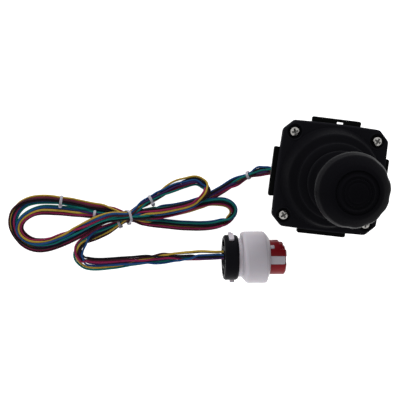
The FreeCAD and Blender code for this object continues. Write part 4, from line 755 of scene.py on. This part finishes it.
class JOYSTICK_OT_grommet(bpy.types.Operator):
    """Turns the ribbed rubber grommet in the case's side, with the wires through it"""
    bl_idname = "joystick.grommet"
    bl_label = "Cable grommet"

    def execute(self, context):
        outer = [(21.4, 5.0), (22.5, 5.0), (22.5, 3.65), (24.5, 3.65), (24.5, 5.0), (25.7, 5.0)]
        for k in range(3):
            start = 26.2 + 1.5 * k
            outer += [(start, 3.6 - 0.12 * k), (start + 0.9, 3.6 - 0.12 * k),
                      (start + 0.9, 3.1 - 0.12 * k), (start + 1.5, 3.1 - 0.12 * k)]
        outer += [(31.5, 3.0), (31.5, 2.5), (21.4, 2.5)]
        profile = rounded([(r, x) for x, r in outer], 0.3, 4, True)
        grid = lathe(profile, 64)
        laid = np.stack([-grid[..., 2], grid[..., 0] + ROUTE[0][1], grid[..., 1] + ROUTE[0][2]], -1)
        rubber = finish("grommet_rubber", context.scene.joystick_boot.colour, 0.6, grain=(800.0, 0.00003),
                        specular=0.015)
        grommet = add_piece("grommet", [sheet_of(laid, wrap_rows=True)], rubber, 40)
        hand_over(grommet, "base", "black_rubber", "cable_grommet")
        return {"FINISHED"}


# The boot and its flange

RIDGES = [(29.3, 65.0), (24.4, 72.0), (20.3, 81.0), (16.6, 88.5), (13.2, 92.5)]
FOLDS = [(23.7, 67.45), (19.6, SPLIT_LEVEL), (15.9, 83.6), (12.5, 89.9)]


def turned_piece(name, line, columns, material, sharp, hand, closed=True, waves=None):
    """A turned object, handed over at once. Its line is closed, or its ends are capped."""
    part = sheet_of(lathe(line, columns, waves), wrap_rows=closed, caps=not closed)
    piece = add_piece(name, [part], material, sharp)
    hand_over(piece, *hand)
    return piece


def boot_profile(outer, sinks, wall, crest):
    """A closed profile between an outer line and a copy of it that lies a wall further in, with the
    corners of both made parabolic arcs."""
    inner = [(r - wall, z - sink) for (r, z), sink in zip(outer, sinks)]
    return np.concatenate([rounded(outer, crest, 7), rounded(inner, crest, 7)[::-1]])


class JOYSTICK_OT_boot(bpy.types.Operator):
    """Turns the ridged rubber boot in two halves that meet in a fold"""
    bl_idname = "joystick.boot"
    bl_label = "Rubber boot"

    def execute(self, context):
        settings = context.scene.joystick_boot
        # Painted shade: the boot takes the darker fold colour in place of the flange's rubber colour
        rubber = rubber_finish("boot_rubber", settings.folds, 45.0)
        lower = [
            (29.55, 47.1), (29.55, 52.0), (33.2, 52.02), (31.6, 54.2), RIDGES[0], FOLDS[0], RIDGES[1],
            FOLDS[1],
        ]
        upper = [
            FOLDS[1], RIDGES[2], FOLDS[2], RIDGES[3], FOLDS[3], RIDGES[4], (7.4, 94.2), (7.25, NECK_LEVEL),
        ]
        for name, node, outer, sinks, bodies, start, end in (
            ("boot_lower", "bellows_lower", lower, [0, 0, -1.2, -0.2] + [0.72] * 3 + [0],
             ("base", "gimbal"), FLANGE_TOP + 1, SPLIT_LEVEL),
            ("boot_upper", "bellows_upper", upper, [0] + [0.72] * 6 + [0],
             ("gimbal", "stick"), SPLIT_LEVEL, NECK_LEVEL - 4),
        ):
            line = boot_profile(outer, sinks, settings.wall / MM, settings.crest / MM)
            piece = turned_piece(name, line, 128, rubber, 60, (bodies[0], "black_rubber", node))
            bend_between(piece)
        return {"FINISHED"}


FLANGE_HALF = 34.4
FLANGE_BEVEL = 6.6
FLANGE_BOW = 0.7
FLANGE_HOLE = 28.6
FLANGE_ROLL = 1.3
# The dished seats of the screws, and the low lips round them
DISH_DEPTH = 1.6
DISH_RADIUS = 4.75
LIP_HEIGHT = 0.16
LIP_RADIUS = 5.15
LIP_WIDTH = 0.45


def flange_outline(angle):
    """How far the square with cut and rounded corners reaches at each angle. Its sides are bowed."""
    half, short, wide = FLANGE_HALF, FLANGE_HALF - FLANGE_BEVEL, FLANGE_HALF + FLANGE_BOW
    places = [
        (half, -short), (wide, 0), (half, short), (short, half), (0, wide), (-short, half),
        (-half, short), (-wide, 0), (-half, -short), (-short, -half), (0, -wide), (short, -half),
    ]
    line = rounded(places, [1.5, 12.0, 1.5] * 4, 9, True)
    line, _, _ = even(np.concatenate([line, line[:1]]), 0.05)
    return np.interp(
        angle, np.arctan2(line[:, 1], line[:, 0]), np.hypot(line[:, 0], line[:, 1]), period=2 * math.pi)


class JOYSTICK_OT_flange(bpy.types.Operator):
    """Shapes the square rubber flange with its rolled edge and the dished seats of the screws"""
    bl_idname = "joystick.flange"
    bl_label = "Boot flange"

    def execute(self, context):
        settings = context.scene.joystick_boot
        angle = circle(960)
        soft = flange_outline(angle)
        for _ in range(2):
            soft = 0.5 * soft + 0.25 * (np.roll(soft, 1) + np.roll(soft, -1))
        edge = soft - FLANGE_ROLL
        way = np.linspace(0, 1, 58)[:, None]
        bend = np.linspace(0, math.pi / 2, 9)[1:, None]
        radius = np.concatenate([
            FLANGE_HOLE + way * (edge - FLANGE_HOLE), edge + FLANGE_ROLL * np.sin(bend),
            [soft, soft - 0.3, FLANGE_HOLE + 0 * soft]])
        level = np.concatenate([
            FLANGE_TOP + 0 * way, FLANGE_TOP - FLANGE_ROLL + FLANGE_ROLL * np.cos(bend),
            [[PLATE_TOP + 0.35], [PLATE_TOP + 0.03], [PLATE_TOP + 0.03]]])
        grid = polar(radius, angle, level)
        near = np.hypot(np.abs(grid[..., 0]) - SCREW_PLACE, np.abs(grid[..., 1]) - SCREW_PLACE)
        dish = DISH_DEPTH * smooth_step((DISH_RADIUS - near) / (settings.recess_slope / MM))
        dish -= LIP_HEIGHT * np.exp(-((near - LIP_RADIUS) / LIP_WIDTH) ** 2)
        grid[:len(way), :, 2] -= dish[:len(way)]
        rubber = rubber_finish("flange_rubber", settings.colour, 40.0)
        skin = sheet_of(grid, wrap_rows=True)
        hand_over(add_piece("flange_skin", [skin], rubber, 50), "base", "black_rubber", "boot_flange")
        return {"FINISHED"}


# The screws

HEAD_RADIUS = 3.3
HEAD_HEIGHT = 2.3
HEAD_FOOT = 50.4
CROSS_DEPTH = 1.3
SHANK_RADIUS = 1.58
THREAD_PITCH = 0.6
THREAD_DEPTH = 0.16
THREAD_TOP = 45.0
SHANK_TIP = 34.4


def screw_part():
    """A pan head with a cross recess, and a shank with a rolled thread below the plate, with the depth of the
    recess at each point, by which shade is painted into the recess. The head is h (1 - (r / R)^4.5)^0.42
    high. The cross is cut by two bars whose depth fades at their ends."""
    radius = np.linspace(0.05, HEAD_RADIUS - 0.02, 40)[:, None]
    angle = circle(96)
    x, y = radius * np.cos(angle), radius * np.sin(angle)
    height = HEAD_HEIGHT * np.clip(1 - (radius / HEAD_RADIUS) ** 4.5, 0, 1) ** 0.42
    across, along = np.minimum(np.abs(x), np.abs(y)), np.maximum(np.abs(x), np.abs(y))
    bar = smooth_step((0.62 - across) / 0.18) * smooth_step((2.15 - along) / 0.45)
    depth = bar * (CROSS_DEPTH - 0.22 * along)
    rise = np.linspace(HEAD_FOOT - 0.1, SHANK_TIP, 180)[:, None]
    turn = (rise / THREAD_PITCH + angle / (2 * math.pi)) % 1
    ridge = THREAD_DEPTH * (1 - np.abs(2 * turn - 1)) * smooth_step((THREAD_TOP - rise) / 0.4)
    taper = smooth_step((rise - SHANK_TIP + 0.1) / 0.5)
    under = [(HEAD_RADIUS - 0.02, HEAD_FOOT + 0.02), (SHANK_RADIUS + 0.02, HEAD_FOOT)]
    grid = np.concatenate([
        polar(radius, angle, HEAD_FOOT + height - depth), lathe(np.array(under), 96),
        polar((SHANK_RADIUS + ridge) * (0.75 + 0.25 * taper), angle, rise)])
    recess = np.zeros(grid.shape[0] * grid.shape[1] + 2)
    recess[:depth.size] = depth.ravel() / depth.max()
    recess[-2] = 1.0
    return sheet_of(grid, caps=True), recess


class JOYSTICK_OT_screws(bpy.types.Operator):
    """Sets the four bright cross-head screws in the flange's corners, with painted shade in their recesses"""
    bl_idname = "joystick.screws"
    bl_label = "Flange screws"

    def execute(self, context):
        # The screws take the dimmed steel colour, painted shade over the bright steel
        steel = finish(
            "screw_steel", context.scene.joystick_hardware.screws, 0.24, metallic=1.0,
            grain=(400.0, 0.000004), mottle=(150.0, 0.06))
        # Painted shade: the steel's colour is mixed towards near black by the depth of the cross recess
        recolour(steel, kept_distance(steel.node_tree), (0.03, 0.03, 0.03))
        one, recess = screw_part()
        parts = [
            moved(one, (a * SCREW_PLACE, b * SCREW_PLACE, 0), degrees)
            for a, b, degrees in ((-1, 1, 20), (1, 1, 65), (-1, -1, 38), (1, -1, 5))
        ]
        piece = add_piece("pan_screws", parts, steel, 40, np.tile(recess, 4))
        hand_over(piece, "base", "bright_steel", "flange_screws")
        return {"FINISHED"}


# The knob

class JOYSTICK_OT_knob(bpy.types.Operator):
    """Turns the palm knob with its shallow flutes, its soft crown and the push button in the middle"""
    bl_idname = "joystick.knob"
    bl_label = "Palm knob"

    def execute(self, context):
        settings = context.scene.joystick_knob
        depth, count = settings.flute_depth / MM, settings.flutes

        def flute(radius, level, angle):
            """What a squared cosine wave round the rim takes from the radius. It fades at the rim's lower
            and upper edge and towards the inside, and is shallow on the side of -X."""
            wave = (0.5 + 0.5 * np.cos(count * angle + 0.4)) ** 2
            window = smooth_step((level - 106.2) / 1.5) * smooth_step((121.5 - level) / 4.0)
            outside = smooth_step((radius - 18.2) / 0.4)
            grip = 0.12 + 0.88 * smooth_step((np.cos(angle + 0.45) + 0.15) / 0.8)
            return -depth * wave * window * outside * grip

        outer = [
            (17.3, 106.55), (19.2, 106.5), (21.4, 109.2), (22.5, 112.0), (22.4, 114.8), (21.0, 119.3),
            (18.6, 121.9), (15.4, 124.8), (12.9, 126.0), (12.4, 125.2),
        ]
        inner = [(12.4, 121.8), (15.0, 121.8), (18.3, 118.8), (19.6, 112.0), (17.3, 108.5)]
        corners = [0, 2.0, 3.0, 3.0, 3.0, 0.9, 3.0, 3.0, 0.6, 0]
        line = np.concatenate([rounded(outer, corners, 9), rounded(inner, 1.0, 3)])
        plastic = finish(
            "knob_plastic", settings.colour, 0.36, grain=(900.0, 0.00003), mottle=(40.0, 0.2),
            specular=0.012)
        turned_piece(
            "knob_skin", line, 288, plastic, 50, ("stick", "black_plastic", "knob_shell"), waves=flute)
        under = rounded([
            (6.05, 98.05), (9.6, 98.05), (9.6, 100.8), (10.6, 102.2), (16.4, 105.0), (17.25, 106.4),
            (17.2, 108.4), (15.7, 108.4), (13.6, 105.05), (6.05, 105.0)], 0.9, 5, True)
        turned_piece("knob_underside", under, 128, plastic, 50, ("stick", "black_plastic", "knob_base"))
        ring_line = rounded([
            (12.39, 124.6), (12.39, 125.6), (11.4, 125.45), (10.4, 126.1), (9.6, 126.75), (8.8, 126.45),
            (8.17, 126.75), (8.17, 125.7), (9.0, 125.7), (11.2, 124.6)],
            [0.1, 0.15, 0.7, 0.7, 0.7, 0.7, 0.3, 0.3, 0.7, 0.7], 6, True)
        ring = turned_piece(
            "crown_ring", ring_line, 160, plastic, 60, ("stick", "black_rubber", "button_diaphragm"))
        bend_between(ring)
        cap = rounded([
            (0.05, 127.95), (3.0, 127.85), (5.4, 127.5), (6.3, 126.95), (7.0, 127.15), (7.7, 127.3),
            (8.15, 126.6), (8.15, 122.0), (7.2, 122.0), (7.2, 125.2), (2.4, 125.2), (2.4, 123.75),
            (0.05, 123.75)], 0.6, 6)
        turned_piece(
            "crown_button", cap, 128, plastic, 60, ("button", "black_rubber", "push_button"), closed=False)
        return {"FINISHED"}


# The plug

CORE_RADIUS = 11.8
CONTACT_CIRCLE = 6.0
# How far the shoulder of the plug's body leans on its early and its late side, and its front's bevel
SHOULDER_EARLY = -2.5
SHOULDER_LATE = 0.5
BEVEL_LATE = 1.5


def plug_lathe(points, radius, lean=None):
    """A closed turned part of the plug. Its profile is (along, radius) from the cage to the front."""
    line = rounded([(r, x) for x, r in points], radius, 5, True)
    return on_plug(sheet_of(lathe(line, 96, lean=lean), wrap_rows=True))


def body_lean(radius, level, angle):
    """How far the body's edges lie along the plug at each angle: the shoulder starts early on one side
    and late on the other, where the front's bevel is short."""
    near, far = 0.5 + 0.5 * np.cos(angle), 0.5 - 0.5 * np.cos(angle)
    outer = smooth_step((radius - 13.0) / 3.0)
    shoulder = smooth_step((18.6 - level) / 1.0) * outer * (SHOULDER_EARLY * near + SHOULDER_LATE * far)
    front = smooth_step((level - 27.0) / 0.6) * smooth_step((radius - 15.4) / 1.4) * BEVEL_LATE * far
    return shoulder + front


def plug_bar(x0, x1, side, width, low, high, power=9.0):
    """A soft-edged bar along the plug, at an angle round its axis. low and high are radii."""
    bar = rounded_box((high - low, width, x1 - x0), ((low + high) / 2, 0, (x0 + x1) / 2), power, 36, 19)
    return on_plug(moved(bar, (0, 0, 0), side))


class JOYSTICK_OT_plug(bpy.types.Operator):
    """Builds the round plug: caged wire entry, white body, red core with its keys and contacts"""
    bl_idname = "joystick.plug"
    bl_label = "Plug"

    def execute(self, context):
        settings = context.scene.joystick_plug
        white = finish(
            "plug_white", settings.body, 0.38, grain=(700.0, 0.00002), mottle=(50.0, 0.04),
            milky=(0.1, 0.002))
        red = finish(
            "plug_red", settings.core, 0.32, grain=(700.0, 0.00002), mottle=(60.0, 0.1), specular=0.12)
        black = finish(
            "plug_black", settings.cage, 0.42, grain=(900.0, 0.00002), mottle=(50.0, 0.2), specular=0.04)
        body = [
            (8.0, 1.0), (8.0, 13.1), (13.0, 13.2), (15.6, 16.9), (17.2, 17.6), (28.2, 17.6),
            (31.2, 14.0), (31.6, 13.4), (31.6, 11.85), (22.0, 11.85), (22.0, 1.0),
        ]
        corners = [.4, .5, .8, .6, .8, .9, .3, .3, .3, .4, .4]
        rim = [
            (0.9, 12.2), (0.9, 14.3), (2.1, 15.3), (9.0, 15.3), (10.4, 14.5), (10.4, 13.25), (5.0, 13.25),
            (4.4, 12.2),
        ]
        hub = [(0.6, 6.0), (0.6, 7.6), (3.0, 7.6), (3.0, 6.0)]
        cage = [plug_lathe(rim, 0.35), plug_lathe(hub, 0.5)]
        cage += [plug_bar(0.8, 2.6, quarter, 2.2, 6.9, 13.4) for quarter in (45, 135, 225, 315)]
        clip = [
            plug_bar(3.9, 7.4, 16, 9.4, 14.4, 16.5, 6.0), plug_bar(3.9, 6.2, 2, 4.4, 15.2, 17.3, 6.0),
            plug_bar(5.3, 8.5, 180, 3.2, 14.6, 17.2, 6.0),
        ]
        keys = []
        for side in (90, 270):
            keys.append(plug_bar(31.4, 41.6, side, 5.5, 9.5, 11.6, 12.0))
            keys.append(plug_bar(31.6, 34.6, side - 46, 2.8, 9.8, 12.3, 6.0))
        for name, parts, material, slot, node in (
            ("plug_shell", [plug_lathe(body, corners, body_lean)], white, "white_plug", "plug_body"),
            ("plug_retainer", cage, black, "black_plastic", "plug_cage"),
            ("plug_latch", clip, white, "white_plug", "plug_clip"),
            ("plug_carrier", self.core_parts(), red, "red_plastic", "plug_core"),
            ("plug_locks", keys, white, "white_plug", "plug_keys"),
        ):
            hand_over(add_piece(name, parts, material, 45), "base", slot, node)
        return {"FINISHED"}

    def core_parts(self):
        """The carrier's side as a radius over angle and length: two keyways, one above and one below,
        two stepped grooves at its sides, a bevelled end, and a dished face."""
        angle = circle(240)
        along = np.concatenate([np.linspace(22.2, 31.2, 4), np.linspace(31.6, 42.6, 46)])[:, None]
        x, y = np.cos(angle), np.sin(angle)
        radius = CORE_RADIUS - 0.9 * smooth_step((along - 41.6) / 1.0)
        key = smooth_step((2.8 - np.abs(CORE_RADIUS * x)) / 0.25) * (np.abs(y) > 0.5)
        radius = radius - 2.4 * key * (along > 31.3)
        groove = smooth_step((1.4 - np.abs(CORE_RADIUS * y)) / 0.25) * (np.abs(x) > 0.5)
        radius = radius - 1.4 * groove * smooth_step((along - 34.4) / 0.3)
        step = smooth_step((np.abs(np.degrees(np.arctan2(y, x)) - 8) - 46) / -6.0)
        radius = radius - step * (
            1.4 * smooth_step((along - 38.2) / 0.3) + 1.7 * smooth_step((along - 40.4) / 0.4))
        face = [
            polar(radius[-1:] * share, angle, level)
            for share, level in ((0.93, 42.6), (0.84, 42.55), (0.80, 41.5), (0.4, 41.4), (0.05, 41.4))
        ]
        back = polar(np.full((1, 1), 0.05 * CORE_RADIUS), angle, 22.1)
        grid = np.concatenate([back, polar(radius, angle, along), *face])
        parts = [on_plug(sheet_of(grid, caps=True))]
        ring = rounded([(0.82, 41.3), (1.5, 41.3), (1.35, 42.3), (0.82, 42.3)], 0.2, 3, True)
        contact = sheet_of(lathe(ring, 24), wrap_rows=True)
        for k in range(7):
            out, turn = (0.0 if k == 6 else CONTACT_CIRCLE), math.radians(60 * k + 30)
            parts.append(on_plug(moved(contact, (out * math.cos(turn), out * math.sin(turn), 0))))
        return parts


# Carried-over solids

class JOYSTICK_OT_hardware(bpy.types.Operator):
    """Gives every carried-over part of the case, the plate, the gimbal and the electronics its finish"""
    bl_idname = "joystick.hardware"
    bl_label = "Case and mechanism"

    def execute(self, context):
        hardware = context.scene.joystick_hardware
        for *look, nodes in (
            ("plate_paint", hardware.paint, 0.3, 0.0, (450.0, 0.00003), (80.0, 0.2), 0.08, 0.015,
             "mounting_plate"),
            ("case_plastic", hardware.case, 0.5, 0.0, (650.0, 0.00005), (40.0, 0.2), 0.07, 0.08,
             "housing_shell bottom_cover board_socket button_switch"),
            ("bright_steel", hardware.steel, 0.28, 1.0, (500.0, 0.00001), (200.0, 0.1),
             "housing_screws frame_screws board_screws pivot_pin grub_screw stick_shaft knob_nut "
             "return_spring_x return_spring_y button_spring"),
            ("die_cast_zinc", (0.32, 0.32, 0.33), 0.42, 1.0, (350.0, 0.00004), (120.0, 0.15),
             "gimbal_frame gimbal_ring stick_block slotted_arch"),
            ("brass", (0.55, 0.36, 0.12), 0.3, 1.0, (600.0, 0.00001), (200.0, 0.12),
             "plug_contacts knob_insert compression_sleeves ring_bushes arch_bushes"),
            ("white_nylon", (0.24, 0.235, 0.225), 0.45, 0.0, (500.0, 0.00002), (90.0, 0.05),
             "limit_plate switch_carrier button_guide boot_collar"),
            ("magnet_nickel", (0.42, 0.42, 0.43), 0.2, 1.0, (700.0, 0.00001), (250.0, 0.08),
             "magnet_x magnet_y"),
            ("chip_black", (0.012, 0.012, 0.013), 0.55, 0.0, (900.0, 0.00003), (300.0, 0.2),
             "board_chips sensor_chips"),
            ("lead_cover", (0.03, 0.03, 0.035), 0.4, 0.0, (900.0, 0.00001), (90.0, 0.1), "button_lead"),
            ("seal_silicone", (0.31, 0.3, 0.32), 0.5, 0.0, (500.0, 0.00003), (80.0, 0.1), "wire_seal"),
        ):
            dress_nodes(finish(*look), nodes)
        dress_nodes(board_finish("green_board"), "circuit_board sensor_board_x sensor_board_y")
        return {"FINISHED"}


# Floor, lamps and camera

CAMERA_PLACE = (-140.41, 54.55, 667.45)
CAMERA_RIGHT = (0.98919, 0.1238, 0.07857)
CAMERA_UP = (-0.11243, 0.98438, -0.13551)
CAMERA_BACK = (-0.09412, 0.12521, 0.98766)
DOME_LIGHT = 0.56
FLOOR_GLOW = 0.9
FLOOR_HALF = 3.0
# Each lamp's name, its place along X and Y in metres, and its power in watts
LAMPS = [
    ("left", -1.05, 0.05, 4.4), ("right", 0.9, 0.05, 0.4), ("back", -0.06, 0.95, 12.0),
    ("front", -0.06, -0.95, 7.0),
]
LAMP_HEIGHT = 0.25
LAMP_AIM = (-0.06, -0.02, 0.03)
LAMP_SIZE = (0.9, 0.35)


def set_up(name, data, axes, place):
    """An object for a lamp or a camera, at a place in metres, with its X, Y and Z axes."""
    holder = bpy.data.objects.new(name, data)
    turn = np.eye(4)
    turn[:3, :3] = np.stack(axes, 1)
    turn[:3, 3] = place
    holder.matrix_world = Matrix(turn.tolist())
    bpy.context.scene.collection.objects.link(holder)
    return holder


def add_lamp(name, place, aim, size, power):
    """A soft box that faces its aim and isn't seen itself."""
    lamp = bpy.data.lights.new(name, "AREA")
    lamp.shape = "RECTANGLE"
    lamp.size, lamp.size_y = size
    lamp.energy = power
    back = unit(np.array(place) - np.array(aim))
    side = unit(np.cross([0, 0, 1], back))
    holder = set_up(name, lamp, (side, np.cross(back, side), back), place)
    holder.visible_glossy = False
    holder.visible_camera = False


def seen_rays(tree):
    """A socket that is 1 for what the camera sees, also in reflections and through clear things."""
    rays = add_node(tree, "LightPath", {}).outputs
    seen = rays["Is Camera Ray"]
    for name in ("Is Glossy Ray", "Is Transmission Ray"):
        seen = add_node(tree, "Math", {0: seen, 1: rays[name]}, operation="MAXIMUM").outputs[0]
    return seen


def floor_finish(colour):
    """A matt floor that takes shadows. Where it is seen it glows as well, so that it comes out white."""
    material = bpy.data.materials.new("floor_white")
    material.use_nodes = True
    tree = material.node_tree
    tree.nodes.clear()
    strength = add_node(tree, "Math", {0: seen_rays(tree), 1: FLOOR_GLOW}, operation="MULTIPLY")
    glow = add_node(tree, "Emission", {"Strength": strength.outputs[0]})
    matt = add_node(tree, "BsdfDiffuse", {"Color": (*colour, 1)})
    both = add_node(tree, "AddShader", {0: matt.outputs[0], 1: glow.outputs[0]})
    add_node(tree, "OutputMaterial", {"Surface": both.outputs[0]})
    return material


def light_room(level):
    """The world: white where it is seen, also in reflections and through clear things, and an even
    dome of light for everything else."""
    world = bpy.data.worlds.new("room")
    bpy.context.scene.world = world
    world.use_nodes = True
    tree = world.node_tree
    tree.nodes.clear()
    dome, seen = (
        add_node(tree, "Background", {"Color": (1, 1, 1, 1), "Strength": strength}).outputs[0]
        for strength in (DOME_LIGHT * level, 1.0)
    )
    mix = add_node(tree, "MixShader", {0: seen_rays(tree), 1: dome, 2: seen})
    add_node(tree, "OutputWorld", {"Surface": mix.outputs[0]})


class JOYSTICK_OT_stage(bpy.types.Operator):
    """Sets the white floor, the soft lamps and the camera"""
    bl_idname = "joystick.stage"
    bl_label = "Floor, lamps and camera"

    def execute(self, context):
        settings = context.scene.joystick_stage
        scene = context.scene
        scene.view_settings.view_transform = "Standard"
        mesh = bpy.data.meshes.new("floor")
        corners = [(x * FLOOR_HALF, y * FLOOR_HALF, 0) for x, y in ((-1, -1), (1, -1), (1, 1), (-1, 1))]
        mesh.from_pydata(corners, [], [(0, 1, 2, 3)])
        mesh.materials.append(floor_finish(settings.floor))
        floor = bpy.data.objects.new("floor", mesh)
        scene.collection.objects.link(floor)
        light_room(settings.level)
        for side, x, y, power in LAMPS:
            add_lamp("lamp_" + side, (x, y, LAMP_HEIGHT), LAMP_AIM, LAMP_SIZE, power * settings.level)
        camera = bpy.data.cameras.new("camera")
        camera.sensor_width = 36.0
        camera.lens = settings.lens
        camera.clip_start = 0.01
        axes = unit(np.array([CAMERA_RIGHT, CAMERA_UP, CAMERA_BACK]))
        scene.camera = set_up("camera", camera, axes, np.array(CAMERA_PLACE) * MM)
        return {"FINISHED"}


class JOYSTICK_PT_panel(bpy.types.Panel):
    """Lists the steps in the sidebar"""
    bl_idname = "JOYSTICK_PT_panel"
    bl_label = "Industrial joystick"
    bl_space_type = "VIEW_3D"
    bl_region_type = "UI"
    bl_category = "Joystick"

    def draw(self, context):
        for group, _ in GROUPS:
            settings = getattr(context.scene, group)
            box = self.layout.box()
            for name in settings.__annotations__:
                box.prop(settings, name)
        for operator in OPERATORS:
            self.layout.operator(operator.bl_idname)


GROUPS = [
    ("joystick_harness", HarnessSettings), ("joystick_boot", BootSettings), ("joystick_knob", KnobSettings),
    ("joystick_plug", PlugSettings), ("joystick_hardware", HardwareSettings),
    ("joystick_stage", StageSettings),
]
OPERATORS = [
    JOYSTICK_OT_stage, JOYSTICK_OT_plug, JOYSTICK_OT_harness, JOYSTICK_OT_grommet, JOYSTICK_OT_boot,
    JOYSTICK_OT_flange, JOYSTICK_OT_screws, JOYSTICK_OT_knob, JOYSTICK_OT_hardware,
]


def register():
    for name, group in GROUPS:
        bpy.utils.register_class(group)
        setattr(bpy.types.Scene, name, PointerProperty(type=group))
    for operator in OPERATORS:
        bpy.utils.register_class(operator)
    bpy.utils.register_class(JOYSTICK_PT_panel)


def unregister():
    bpy.utils.unregister_class(JOYSTICK_PT_panel)
    for operator in reversed(OPERATORS):
        bpy.utils.unregister_class(operator)
    for name, group in reversed(GROUPS):
        delattr(bpy.types.Scene, name)
        bpy.utils.unregister_class(group)


def main():
    register()
    for operator in OPERATORS:
        section, name = operator.bl_idname.split(".")
        getattr(getattr(bpy.ops, section), name)()


if __name__ == "__main__":
    main()
